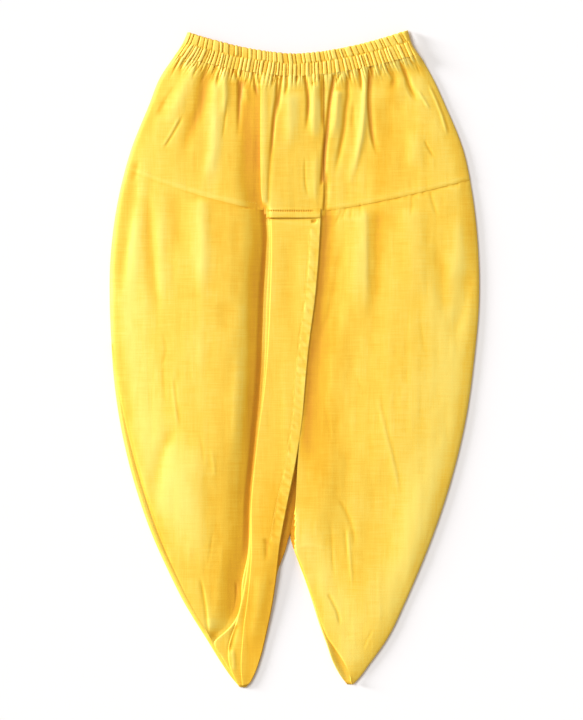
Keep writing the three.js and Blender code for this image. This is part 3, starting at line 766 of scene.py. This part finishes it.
class NodeBench:
    """Short ways to put a material's nodes together."""

    def __init__(self, name):
        self.material = bpy.data.materials.new(name)
        self.material.use_nodes = True
        self.nodes = self.material.node_tree.nodes
        self.links = self.material.node_tree.links
        self.shader = self.nodes["Principled BSDF"]

    def noise(self, place, scale, detail):
        stretch = self.nodes.new("ShaderNodeMapping")
        stretch.inputs["Scale"].default_value = scale
        self.links.new(place, stretch.inputs["Vector"])
        noise = self.nodes.new("ShaderNodeTexNoise")
        noise.inputs["Scale"].default_value = 1.0
        noise.inputs["Detail"].default_value = detail
        self.links.new(stretch.outputs["Vector"], noise.inputs["Vector"])
        return noise.outputs["Fac"]

    def maths(self, operation, first, second=0):
        node = self.nodes.new("ShaderNodeMath")
        node.operation = operation
        for socket, value in zip(node.inputs, (first, second)):
            if isinstance(value, (int, float)):
                socket.default_value = value
            else:
                self.links.new(value, socket)
        return node.outputs["Value"]

    def blend(self, parts):
        """A weighted sum of several patterns."""
        total = 0.0
        for pattern, weight in parts:
            total = self.maths("ADD", self.maths("MULTIPLY", pattern, weight), total)
        return total

    def tones(self, pattern, stops):
        colours = self.nodes.new("ShaderNodeValToRGB")
        ends = colours.color_ramp.elements
        (ends[0].position, ends[0].color), (ends[1].position, ends[1].color) = stops[0], stops[-1]
        for position, tone in stops[1:-1]:
            ends.new(position).color = tone
        self.links.new(pattern, colours.inputs["Fac"])
        self.links.new(colours.outputs["Color"], self.shader.inputs["Base Color"])

    def relief(self, pattern, strength, depth):
        bump = self.nodes.new("ShaderNodeBump")
        bump.inputs["Strength"].default_value = strength
        bump.inputs["Distance"].default_value = depth
        self.links.new(pattern, bump.inputs["Height"])
        self.links.new(bump.outputs["Normal"], self.shader.inputs["Normal"])


def weave_cotton():
    """Plain-weave cotton: thick and thin threads, faint mottling from washing, a matte nap, and painted
    shade and highlight.
    """
    bench = NodeBench("golden_cotton")
    bench.shader.inputs["Roughness"].default_value = 0.62
    bench.shader.inputs["Specular IOR Level"].default_value = 0.6
    bench.shader.inputs["Sheen Weight"].default_value = 0.09
    bench.shader.inputs["Sheen Roughness"].default_value = 0.5
    bench.shader.inputs["Sheen Tint"].default_value = NAP_TONE
    grain = bench.nodes.new("ShaderNodeUVMap")
    grain.uv_map = "grain"
    place = grain.outputs["UV"]
    weft = bench.noise(place, WEFT_STRETCH, 2.0)
    warp = bench.noise(place, WARP_STRETCH, 2.0)
    wash = bench.noise(place, WASH_STRETCH, 3.0)
    # the attribute that carries each piece's painted shade and painted highlight
    painted_shade_and_highlight = bench.nodes.new("ShaderNodeAttribute")
    painted_shade_and_highlight.attribute_name = "painted_shade_and_highlight"
    pattern = bench.blend([(weft, WEFT_SHARE), (warp, WARP_SHARE), (wash, WASH_SHARE),
                           (painted_shade_and_highlight.outputs["Fac"], PAINTED_SHADE_AND_HIGHLIGHT_SHARE), (1.0, EVEN_TONE)])
    bench.tones(pattern, COTTON_TONES)
    apart = bench.nodes.new("ShaderNodeSeparateXYZ")
    bench.links.new(place, apart.inputs["Vector"])
    turn = 2 * math.pi / THREAD_PITCH
    over = bench.maths("SINE", bench.maths("MULTIPLY", apart.outputs["X"], turn))
    under = bench.maths("SINE", bench.maths("MULTIPLY", apart.outputs["Y"], turn))
    plain = bench.maths("MULTIPLY", over, under)
    weave = bench.blend([(plain, WEAVE_BUMP), (weft, WEFT_BUMP), (warp, WARP_BUMP)])
    bench.relief(weave, CLOTH_BUMP_STRENGTH, CLOTH_BUMP)
    return bench.material


def spin_thread():
    """Sewing thread, a shade paler than the cloth, with its twist as a fine bump."""
    bench = NodeBench("sewing_thread")
    bench.shader.inputs["Roughness"].default_value = 0.6
    place = bench.nodes.new("ShaderNodeTexCoord").outputs["Object"]
    fuzz = bench.noise(place, FUZZ_STRETCH, 2.0)
    bench.tones(fuzz, THREAD_TONES)
    bench.relief(fuzz, THREAD_BUMP_STRENGTH, THREAD_BUMP)
    return bench.material


COTTON = weave_cotton()
THREAD = spin_thread()

# ---------------- laying a cut piece

Edges = namedtuple("Edges", "top bottom left right")
MEETING_STEPS = 12
# the painted shade: how hollows are found, how deep their colour is painted, and how far ridges are paled
# as painted highlight
HOLLOW_REACHES = (4.0, 15.0)
HOLLOW_DEPTH = 1.1
HOLLOW_FROM_SIDE = (1, 9)
RIDGE_LIMIT = -0.45
SHADE_LIMIT = 0.85
CUT_EDGE_TURN = 50


def meet(across, down):
    """Where a line across the garment meets a line down it."""
    x = float(down(0.0))
    for _ in range(MEETING_STEPS):
        x = float(down(across(x)))
    return x, float(across(x))


def spread_over(edges, s, t):
    """The points of a piece inside its four edges, with s across it and t down it, from 0 to 1."""
    (ax, ay), (bx, by) = meet(edges.top, edges.left), meet(edges.top, edges.right)
    (cx, cy), (dx, dy) = meet(edges.bottom, edges.left), meet(edges.bottom, edges.right)
    top_x, bottom_x = ax + (bx - ax) * s, cx + (dx - cx) * s
    left_y, right_y = ay + (cy - ay) * t, by + (dy - by) * t
    left_swing = edges.left(left_y) - (ax + (cx - ax) * t)
    right_swing = edges.right(right_y) - (bx + (dx - bx) * t)
    top_swing = edges.top(top_x) - (ay + (by - ay) * s)
    bottom_swing = edges.bottom(bottom_x) - (cy + (dy - cy) * s)
    x = top_x * (1 - t) + bottom_x * t + left_swing * (1 - s) + right_swing * s
    y = left_y * (1 - s) + right_y * s + top_swing * (1 - t) + bottom_swing * t
    return x, y


def ride_and_slot(piece):
    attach(piece, "root")


def spread_evenly(values, cells, axis):
    """A running mean over `cells` places to each side along one axis of a grid."""
    size = values.shape[axis]
    sums = np.insert(np.cumsum(values, axis=axis), 0, 0.0, axis=axis)
    ahead = np.clip(np.arange(size) + cells + 1, 0, size)
    behind = np.clip(np.arange(size) - cells, 0, size)
    counts = (ahead - behind).reshape((-1, 1) if axis == 0 else (1, -1))
    return (np.take(sums, ahead, axis=axis) - np.take(sums, behind, axis=axis)) / counts


# this sets the painted shade in hollows and the painted highlight on ridges
def hollowness(x, y, z, rows):
    """How far each point lies below the cloth around it: 1 in a hollow, RIDGE_LIMIT on a ridge."""
    grid = z.reshape(rows, -1)
    wide = np.ptp(x.reshape(grid.shape), axis=1).mean() / (grid.shape[1] - 1)
    tall = np.ptp(y.reshape(grid.shape), axis=0).mean() / (rows - 1)
    below = np.zeros(grid.shape)
    for reach in HOLLOW_REACHES:
        around = spread_evenly(grid, max(1, round(reach / wide)), 1)
        around = spread_evenly(around, max(1, round(reach / tall)), 0)
        below += (around - grid) / HOLLOW_DEPTH / len(HOLLOW_REACHES)
    return np.clip(below.ravel(), RIDGE_LIMIT, 1) * ramp(from_sides(x, y), *HOLLOW_FROM_SIDE)


def lay_piece(name, node, edges, across, down, height, shades=(), depth=0.0, cut_edges=False):
    """A cut piece: a grid of cloth spread inside its edges, raised to its folds and given its thickness.

    `shades` are the places where shade is painted into its colour, and highlight where a rise is below
    zero, and `depth` is painted shade over the whole piece; painted shade also goes into its hollows and
    painted highlight onto its ridges. Its edges look rounded, as a fold does, unless they are `cut_edges`.
    """
    bpy.ops.object.select_all(action="DESELECT")
    bpy.ops.mesh.primitive_grid_add(x_subdivisions=across, y_subdivisions=down, size=1)
    piece = bpy.context.object
    piece.name = name
    mesh = piece.data
    mesh.name = name
    points = np.empty(len(mesh.vertices) * 3)
    mesh.vertices.foreach_get("co", points)
    points = points.reshape(-1, 3)
    s, t = points[:, 0] + 0.5, 0.5 - points[:, 1]
    x, y = spread_over(edges, s, t)
    z = height(x, y, s, t) + WALL
    mesh.vertices.foreach_set("co", (np.column_stack([x, y, z]) * MM).ravel())
    # painted shade, deeper in the piece's hollows, its listed shade places and its whole depth, and
    # painted highlight on its ridges and where a shade's rise is below zero
    painted_shade_and_highlight = mesh.attributes.new("painted_shade_and_highlight", "FLOAT", "POINT")
    shade = hollowness(x, y, z, down + 1) + fold_height(shades, x, y) + depth
    painted_shade_and_highlight.data.foreach_set("value", np.clip(shade, -1, SHADE_LIMIT))
    grain = mesh.uv_layers.active
    grain.name = "grain"
    corners = np.empty(len(mesh.loops), int)
    mesh.loops.foreach_get("vertex_index", corners)
    grain.data.foreach_set("uv", (np.column_stack([x, y])[corners] * MM).ravel())
    mesh.update()
    wall = piece.modifiers.new("cloth_wall", "SOLIDIFY")
    wall.thickness = WALL * MM
    wall.offset = -1
    bpy.ops.object.modifier_apply(modifier=wall.name)
    bpy.ops.object.shade_smooth()
    if cut_edges:
        mesh.set_sharp_from_angle(angle=math.radians(CUT_EDGE_TURN))
    mesh.materials.append(COTTON)
    ride_and_slot(piece)
    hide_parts(node)


# ---------------- the waistband

BAND_ENDS, BAND_END_ROUND = 1.2, 4
ROWS_BLEND = 0.10
DIMPLE_LEVEL, DIMPLES = 0.5, Waves(0.5, 2.6, 60, 24)
STITCHED_GROOVE, FOOT_GROOVE, GROOVE_REACH = 0.5, 0.1, 0.9
FRILL_IN, FOOT_OUT = 0.5, 0.1
EDGE_SCALLOP, SCALLOP_FLATNESS = 0.7, 2.0
FRILL_THINNING, FRILL_ROUND = 0.3, 1.4
FOLDED_BACK = 0.6


def band_relief(x, y, t):
    """The gathered band's height above its creases: the frill above and the elastic channel below."""
    blend = eased((t - HEADER_SHARE) / ROWS_BLEND + 0.5)
    dimpled = DIMPLE_LEVEL + unevenness(x, y, DIMPLES)
    middle = close_to((t - HEADER_SHARE) * BAND_TALL, GROOVE_REACH)
    foot = FOOT_GROOVE * close_to((1 - t) * BAND_TALL, GROOVE_REACH)
    rows = pleats(x, y, HEADER) * (1 - blend) + pleats(x, y, CHANNEL) * blend
    return rows - STITCHED_GROOVE * (middle + foot) * dimpled


def scallops(x, row):
    return EDGE_SCALLOP * pleated(np.asarray(x, float), row, SCALLOP_FLATNESS)


def frill_edge(x):
    """The waist edge, nicked where each pleat of the frill folds."""
    return waist_edge(x) - FRILL_IN + scallops(x, HEADER)


def scalloped_foot(x):
    """The band's lower edge, which dips between its creases."""
    return band_foot(x) - FOOT_OUT - scallops(x, CHANNEL)


def band_front_height(x, y, s, t):
    inside = np.clip(from_sides(x, y), 0, None)
    top = 1 - FRILL_THINNING * (1 - rounded_edge(t * BAND_TALL, FRILL_ROUND))
    height = band_level(inside) + band_relief(x, y, t)
    return BAND_ENDS + (height - BAND_ENDS) * rounded_edge(inside, BAND_END_ROUND) * top


def band_back_height(x, y, s, t):
    folded = FOLDED_BACK * (HEADER.rise - band_relief(x, y, t))
    return np.clip(folded, 0, BAND_LOW - 2 * WALL)


def make_waistband():
    edges = Edges(frill_edge, scalloped_foot, left_side, right_side)
    lay_piece("gathered_band_front", "waistband_front", edges, 560, 34, band_front_height,
              cut_edges=True)
    lay_piece("gathered_band_back", "waistband_back", edges, 400, 20, band_back_height)


# ---------------- the yokes, the centre panel and the tab

SEAM_LAP = 1.4
BAND_LAP = 0.6
BACK_YOKE_LAP = 0.6
YOKE_UNDER_LEFT, YOKE_UNDER_RIGHT = 2.5, 2.4
TURNED_EDGE, TURNED_REACH = 0.08, 0.9
ALLOWANCE, ALLOWANCE_ABOVE, ALLOWANCE_REACH = 0.17, 3.2, 2.4
UNDER_PANEL, UNDER_PANEL_REACH = 0.55, 3
PANEL_LEVEL = 0.3
PANEL_LIFT, PANEL_LIFT_REACH, PANEL_ROUND = 0.25, 9, 3
# the panel's lower left corner, which comes down on the strip
CORNER_DOWN, CORNER_ACROSS = (152, 138), (-20, -26)
CORNER_LEVEL, CORNER_SLOPE, CORNER_WIDE = 0.8, 0.3, 8
PANEL_UNDER_TAB = 1.2
PANEL_CORNER_DROP, PANEL_CORNER_DROPS = 4.4, (-25, -28)

TAB_STITCHING, TAB_STITCH_PITCH, TAB_STITCH_HOLE = 140.3, 2.2, -22.15
TAB_STITCHED = (-24, 17)
TAB_GROOVE, TAB_GROOVE_REACH, TAB_GROOVE_RUNS_ON = 0.8, 0.7, 0.5
TAB_END_THINNING, TAB_END_ROUND = 0.5, 1.5
TAB_FOOT_THINNING, TAB_FOOT_ROUND = 0.15, 1.0
TAB_CROWN = 0.1
TAB_OVER_PANEL, TAB_OVER_STRIP = 0.05, 0.9
TAB_LEAVES_PANEL, TAB_LEAVING = 0.6, 7
# painted shade in the tab's needle holes, which the tab also dimples
NEEDLE_HOLE_SHADE = [Fold([(x - 0.25, TAB_STITCHING), (x + 0.25, TAB_STITCHING)], 0.6, 0.6, 1.2, 0, 0)
                for x in np.arange(TAB_STITCH_HOLE, TAB_STITCHED[1], TAB_STITCH_PITCH)]


def yoke_height(x, y, s=None, t=None):
    from_seam = y - yoke_seam(x)
    turned = TURNED_EDGE * close_to(from_seam, TURNED_REACH)
    allowance = ALLOWANCE * close_to(from_seam - ALLOWANCE_ABOVE, ALLOWANCE_REACH)
    past_panel = np.clip(x - CENTRE_RIGHT, 0, None)
    under_panel = UNDER_PANEL * close_to(past_panel, UNDER_PANEL_REACH) * (x > 0)
    return front_cloth(x, y) - turned + allowance - under_panel - dip_beside_strip(x, y)


def centre_height(x, y, s=None, t=None):
    from_left = x - centre_left_edge(y)
    lifted = PANEL_LIFT * close_to(from_left, PANEL_LIFT_REACH) * rounded_edge(from_left, PANEL_ROUND)
    height = front_cloth(x, y) + lifted + PANEL_LEVEL
    corner = ramp(y, *CORNER_DOWN) * ramp(x, *CORNER_ACROSS)
    on_strip = BASE_PLEAT + CORNER_LEVEL + CORNER_SLOPE * np.clip(from_left, 0, CORNER_WIDE)
    return height * (1 - corner) + on_strip * corner


def centre_foot(x):
    """The panel ends under the tab, and beside the tab its left edge runs on to the strip's."""
    return TAB_TOP - PANEL_UNDER_TAB - PANEL_CORNER_DROP * ramp(np.asarray(x, float), *PANEL_CORNER_DROPS)


def tab_height(x, y, s=None, t=None):
    """The tab runs on from the centre panel's foot, and only its stitches show where it starts."""
    from_ends = np.minimum(x - TAB_LEFT, TAB_RIGHT - x)
    ends = TAB_END_THINNING * (1 - rounded_edge(from_ends, TAB_END_ROUND))
    lower = TAB_FOOT_THINNING * (1 - rounded_edge(y - TAB_BOTTOM, TAB_FOOT_ROUND))
    holes = 0.5 + 0.5 * np.cos(2 * math.pi * (x - TAB_STITCH_HOLE) / TAB_STITCH_PITCH)
    first, last = TAB_STITCHED
    stitched = (x > first - TAB_GROOVE_RUNS_ON) & (x < last + TAB_GROOVE_RUNS_ON)
    groove = TAB_GROOVE * close_to(y - TAB_STITCHING, TAB_GROOVE_REACH) * holes * stitched
    crown = TAB_CROWN * np.sin(np.pi * (y - TAB_BOTTOM) / (TAB_TOP - TAB_BOTTOM))
    joined = centre_height(x, y) + TAB_OVER_PANEL
    own = 0.5 * joined + 0.5 * (TOP_PLEAT + TAB_OVER_STRIP) + crown - ends - lower
    share = eased((TAB_TOP - TAB_LEAVES_PANEL - y) / TAB_LEAVING)
    return joined * (1 - share) + own * share - groove


def make_yokes():
    under_band = moved(band_foot, BAND_LAP)
    lay_piece("yoke_left_front", "yoke_front_left",
              Edges(under_band, yoke_seam, left_side, level(CENTRE_LEFT + YOKE_UNDER_LEFT)), 150, 150,
              yoke_height, SHADES, cut_edges=True)
    lay_piece("centre_front", "centre_panel",
              Edges(under_band, centre_foot, centre_left_edge, level(CENTRE_RIGHT)), 78, 160,
              centre_height, CENTRE_SHADES, cut_edges=True)
    lay_piece("yoke_right_front", "yoke_front_right",
              Edges(under_band, yoke_seam, level(CENTRE_RIGHT - YOKE_UNDER_RIGHT), right_side), 150, 150,
              yoke_height, SHADES, cut_edges=True)
    lay_piece("yoke_whole_back", "yoke_back",
              Edges(under_band, moved(yoke_seam, -BACK_YOKE_LAP), left_side, right_side), 110, 50,
              lambda x, y, s, t: back_cloth(x, y))
    lay_piece("cross_tab_front", "cross_tab",
              Edges(level(TAB_TOP), level(TAB_BOTTOM), level(TAB_LEFT), level(TAB_RIGHT)), 90, 18,
              tab_height, NEEDLE_HOLE_SHADE)


# ---------------- the legs

BACK_SEAM_LAP = 0.4
LEFT_FRONT_FOOT, RIGHT_FRONT_FOOT = -268, -308.5
# how far the legs lie below the yoke at their seam, which grows towards the right
SEAM_STEP = 0.13
MIDDLE_STEP, MIDDLE_STEP_GROWS = 0.19, (-75, -45)
RIGHT_STEP, RIGHT_STEP_GROWS = 0.1, (0, 20)
SEAM_STEP_REACH = 4
SEAM_PUCKERS, PUCKERS_GROW = Waves(0.25, 3.2, 40, 31), (-60, -20)

LEAST_ROLL = 0.2
ROLLED_EDGE, ROLL_ROUND = 2.3, 5
LEFT_HEM_LEVEL, LEFT_HEM_THINNING = 2.3, 0.58
HEM_LIP = 0.8
HEM_SLOPE, HEM_SLOPE_MORE, HEM_SLOPE_GROWS = 7, 2, (-150, -210)
OPEN_FOOT_LEVEL, OPEN_FOOT_ROUND, FOOT_OPENS = 3.0, 3, (-170, -190)
RIM_LIP, RIM_LIP_REACH, WIDEST_ROLL = 1.6, 3.4, 6
FOOT_LIP, FOOT_LIP_REACH = 1.6, 4
FOOT_CURLS, FOOT_UNCURLS = (-215, -245), (-309, -297)


def leg_front_height(x, y):
    lap = SEAM_STEP + MIDDLE_STEP * ramp(x, *MIDDLE_STEP_GROWS) + RIGHT_STEP * ramp(x, *RIGHT_STEP_GROWS)
    puckers = unevenness(x, y, SEAM_PUCKERS) * ramp(x, *PUCKERS_GROW)
    near_seam = close_to(np.clip(yoke_seam(x) - y + SEAM_LAP, 0, None), SEAM_STEP_REACH)
    height = front_cloth(x, y) - (lap + puckers) * near_seam - dip_beside_strip(x, y)
    return np.maximum(height, SIDE_EDGE)


def leg_left_height(x, y, s, t):
    height = leg_front_height(x, y)
    roll = left_roll(y)
    from_edge = x - left_side(y) - roll
    rolled = ROLLED_EDGE + (height - ROLLED_EDGE) * rounded_edge(from_edge, ROLL_ROUND)
    height = np.where((roll > LEAST_ROLL) & (from_edge < ROLL_ROUND), rolled, height)
    low = LEFT_HEM_LEVEL * (1 - LEFT_HEM_THINNING * towards_tip(y))
    slope = HEM_SLOPE + HEM_SLOPE_MORE * ramp(y, *HEM_SLOPE_GROWS)
    tucked = low + (height - low) * eased((left_front_hem(y) - x - HEM_LIP) / slope)
    return np.minimum(tucked, height)


def leg_right_height(x, y, s, t):
    height = leg_front_height(x, y)
    turned_in = rounded_edge(x - right_front_inner(y), OPEN_FOOT_ROUND)
    turned = OPEN_FOOT_LEVEL + (height - OPEN_FOOT_LEVEL) * turned_in
    below = ramp(y, *FOOT_OPENS)
    return height * (1 - below) + turned * below


def leg_back_left_height(x, y, s, t):
    rolled = np.clip(left_roll(y) / WIDEST_ROLL, 0, 1)
    lip = RIM_LIP * rolled * close_to(x - left_side(y) - RIM_LIP_REACH, RIM_LIP_REACH)
    return back_cloth(x, y) + lip


def leg_back_right_height(x, y, s, t):
    """The open foot's back layer curls up along its inner edge, past the front's."""
    curled = ramp(y, *FOOT_CURLS) * ramp(y, *FOOT_UNCURLS)
    return back_cloth(x, y) + FOOT_LIP * curled * close_to(x - right_back_inner(y), FOOT_LIP_REACH)


def make_legs():
    leg_top = moved(yoke_seam, SEAM_LAP)
    back_top = moved(yoke_seam, BACK_SEAM_LAP)
    lay_piece("leg_left_back", "leg_back_left",
              Edges(back_top, level(LEFT_TIP), left_side, left_back_inner), 50, 170,
              leg_back_left_height)
    lay_piece("leg_right_back", "leg_back_right",
              Edges(back_top, level(RIGHT_TIP), right_back_inner, right_side), 50, 170,
              leg_back_right_height)
    lay_piece("leg_left_front", "leg_front_left",
              Edges(leg_top, level(LEFT_FRONT_FOOT), rolled_side, left_front_hem), 120, 370,
              leg_left_height, SHADES, cut_edges=True)
    lay_piece("leg_right_front", "leg_front_right",
              Edges(leg_top, level(RIGHT_FRONT_FOOT), right_front_inner, right_side), 120, 370,
              leg_right_height, SHADES, cut_edges=True)


# ---------------- the pleated strip

STRIP_STARTS = 4.2
TIP_CENTRE, TIP_CURVE = -49.5, 0.05
TIP_THINNING = 0.62
PLEAT_STEP = 0.8
MIDDLE_BACK, TOP_BACK = 0.4, 0.6
PLEAT_EDGE, PLEAT_ROUND = 0.35, 1.2
BASE_LIFT, MIDDLE_LIFT, TOP_LIFT, LIFT_REACH = 0.3, 0.4, 0.3, 14
RIM_RISE, RIM_REACH, RIM_STARTS = 0.3, 5, (-195, -215)
UNDER_TAB_SINK, UNDER_TAB = 0.5, (129, 134)
RIGHT_THINNING, RIGHT_THINNING_REACH, RIGHT_THINS = 0.15, 9, (-165, -200)
STRIP_CREASES = 0.6
# where the strip's left edge is the garment's own outline, and a distance that is well inside it
OUTLINE_STARTS, WELL_INSIDE = -285, 20
OUTLINE_LIP, OUTLINE_ROUND = 0.6, 6

HEM_IN = 10.6
HEM_TOP, HEM_END = 128, -172
HEM_FADES = (HEM_END - 15, HEM_END + 10)
HEM_DOUBLED, HEM_STEP = 0.1, 1.6
HEM_GROOVE, HEM_GROOVE_REACH, HEM_GROOVE_WAVES = 0.1, 0.8, Waves(0.12, 40, 3, 33)
HEM_PUCKERS, PUCKERS_LEAN, PUCKERS_START = Waves(0.22, 5, 3.2, 32), 0.6, 2

INNER_FOLD_TOP, INNER_FOLD_FOOT, INNER_FOLD_UNDER = -78, -196, 6
INNER_FOLD_LEVEL, INNER_FOLD_CROWN, INNER_FOLD_WAVES = 1.0, 0.8, Waves(0.2, 8, 25, 9)
# painted shade over the whole inner fold
INNER_FOLD_SHADE = 0.9


def round_tip(x):
    """The strip's rounded end, which is also the left leg's tip."""
    return LEFT_TIP + TIP_CURVE * (np.asarray(x, float) - TIP_CENTRE) ** 2


def pleat_height(level_mm, left, right_lift):
    """One pleat of the strip, lifted along its right edge and thinning out towards the tip."""

    def height(x, y, s=None, t=None):
        from_left, from_right = x - left(y), pleats_right(y) - x
        edge = PLEAT_EDGE * (1 - rounded_edge(np.minimum(from_left, from_right), PLEAT_ROUND))
        lift = right_lift * close_to(from_right, LIFT_REACH) * (1 - towards_tip(y))
        rim = RIM_RISE * ramp(y, *RIM_STARTS) * close_to(from_left, RIM_REACH)
        flat = level_mm * (1 - TIP_THINNING * towards_tip(y))
        flat -= UNDER_TAB_SINK * ramp(y, *UNDER_TAB)
        flat *= 1 - RIGHT_THINNING * close_to(from_right, RIGHT_THINNING_REACH) * ramp(y, *RIGHT_THINS)
        creases = fold_height(STRIP_FOLDS, x, y) + STRIP_CREASES * small_creases(x, y)
        height = flat + lift + rim - edge + creases
        from_outline = np.where(y < OUTLINE_STARTS, x - left_side(y), WELL_INSIDE)
        return SIDE_EDGE + (height - SIDE_EDGE) * rounded_edge(from_outline + OUTLINE_LIP, OUTLINE_ROUND)

    return height


plain_top_pleat = pleat_height(TOP_PLEAT, top_pleat_left, TOP_LIFT)


def top_pleat_height(x, y, s=None, t=None):
    """The top pleat with the hem that is sewn down along its right edge."""
    from_hem = HEM_IN - (pleats_right(y) - x)
    hemmed = ramp(y, *HEM_FADES)
    doubled = HEM_DOUBLED * eased(from_hem / HEM_STEP + 0.5)
    groove = (HEM_GROOVE + unevenness(x, y, HEM_GROOVE_WAVES)) * close_to(from_hem, HEM_GROOVE_REACH)
    puckers = unevenness(x, y + PUCKERS_LEAN * x, HEM_PUCKERS) * eased(from_hem / PUCKERS_START)
    return plain_top_pleat(x, y) + hemmed * (doubled - groove + puckers)


def gusset_height(x, y, s, t):
    return INNER_FOLD_LEVEL + INNER_FOLD_CROWN * np.sin(np.pi * s) + unevenness(x, y, INNER_FOLD_WAVES)


def make_strip():
    below_tab = level(TAB_BOTTOM + STRIP_STARTS)
    lay_piece("pleat_under", "pleat_base",
              Edges(below_tab, round_tip, base_pleat_left, pleats_right), 30, 200,
              pleat_height(BASE_PLEAT, base_pleat_left, BASE_LIFT), STRIP_SHADES)
    lay_piece("pleat_between", "pleat_middle",
              Edges(below_tab, moved(round_tip, PLEAT_STEP), middle_pleat_left,
                    moved(pleats_right, -MIDDLE_BACK)), 30, 200,
              pleat_height(MIDDLE_PLEAT, middle_pleat_left, MIDDLE_LIFT), STRIP_SHADES)
    lay_piece("pleat_over", "pleat_top",
              Edges(below_tab, moved(round_tip, 2 * PLEAT_STEP), top_pleat_left,
                    moved(pleats_right, -TOP_BACK)), 60, 330,
              top_pleat_height, STRIP_SHADES)
    lay_piece("inner_fold", "crotch_gusset",
              Edges(level(INNER_FOLD_TOP), level(INNER_FOLD_FOOT), moved(pleats_right, -INNER_FOLD_UNDER),
                    gusset_right), 20, 80,
              gusset_height, depth=INNER_FOLD_SHADE)


# ---------------- stitching

STITCH_THICK = 0.42
STITCH_SUNK = 0.02
STITCH_PITCH, STITCH_LONG, TAB_STITCH_LONG = 2.6, 1.9, 1.3
YOKE_TOPSTITCH = 5.4
YOKE_ROWS = [
    ("yoke_topstitch_left", "yoke_left_front", (-160, -34)),
    ("yoke_topstitch_right", "yoke_right_front", (29, 163)),
]
ROW_POINTS, TAB_ROW_POINTS = 500, 50


def one_stitch():
    """A single stitch lying along X, one unit long and thick: its points and faces."""
    bpy.ops.object.select_all(action="DESELECT")
    bpy.ops.mesh.primitive_uv_sphere_add(segments=6, ring_count=5, radius=0.5,
                                         rotation=(0, math.pi / 2, 0))
    bpy.ops.object.transform_apply(location=False, rotation=True, scale=False)
    stitch = bpy.context.object
    shape = np.array([vertex.co[:] for vertex in stitch.data.vertices])
    faces = [list(polygon.vertices) for polygon in stitch.data.polygons]
    bpy.data.objects.remove(stitch, do_unlink=True)
    return shape, faces


STITCH_SHAPE, STITCH_FACES = one_stitch()


def sew(name, x, y, height, pitch=STITCH_PITCH, length=STITCH_LONG):
    """A row of stitches along the line of points x, y, each sunk into the cloth, as one joined mesh."""
    run = np.concatenate([[0], np.cumsum(np.hypot(np.diff(x), np.diff(y)))])
    starts = np.arange(0, run[-1] - length, pitch)
    points, faces = [], []
    for start in starts:
        ax, bx = np.interp([start, start + length], run, x)
        ay, by = np.interp([start, start + length], run, y)
        middle = np.array([(ax + bx) / 2]), np.array([(ay + by) / 2])
        z = float(height(*middle)[0]) + WALL + STITCH_SUNK
        along = np.array([(bx - ax), (by - ay), 0])
        aside = np.array([ay - by, bx - ax, 0]) / length * STITCH_THICK
        up = np.array([0, 0, STITCH_THICK])
        centre = np.array([middle[0][0], middle[1][0], z])
        first = len(points)
        points.extend(centre + STITCH_SHAPE @ np.array([along, aside, up]))
        faces.extend([first + i for i in face] for face in STITCH_FACES)
    mesh = bpy.data.meshes.new(name)
    mesh.from_pydata((np.array(points) * MM).tolist(), [], faces)
    mesh.polygons.foreach_set("use_smooth", np.ones(len(mesh.polygons), bool))
    mesh.materials.append(THREAD)
    row = bpy.data.objects.new(name, mesh)
    bpy.context.collection.objects.link(row)
    ride_and_slot(row)
    return row


def sew_rows():
    """Every visible row of stitching, with the piece that it is sewn on."""
    rows = {}
    for name, piece, ends in YOKE_ROWS:
        x = np.linspace(*ends, ROW_POINTS)
        rows[piece] = sew(name, x, yoke_seam(x) + YOKE_TOPSTITCH, yoke_height)
    x = np.linspace(*TAB_STITCHED, TAB_ROW_POINTS)
    rows["cross_tab_front"] = sew("tab_stitching", x, np.full(x.shape, TAB_STITCHING), tab_height,
                                   TAB_STITCH_PITCH, TAB_STITCH_LONG)
    y = np.linspace(HEM_TOP, HEM_END, ROW_POINTS)
    rows["pleat_over"] = sew("strip_hem_stitching", pleats_right(y) - HEM_IN, y, top_pleat_height)
    return rows


# ---------------- everything together

# each piece as it was cut, in metres: width, length, area (None for a rectangle), how it is held, and what
# it rests on
Cut = namedtuple("Cut", "width length area held rests_on")


set_up_view()
lay_surface()
set_up_light()
make_legs()
make_strip()
make_yokes()
make_waistband()
sew_rows()
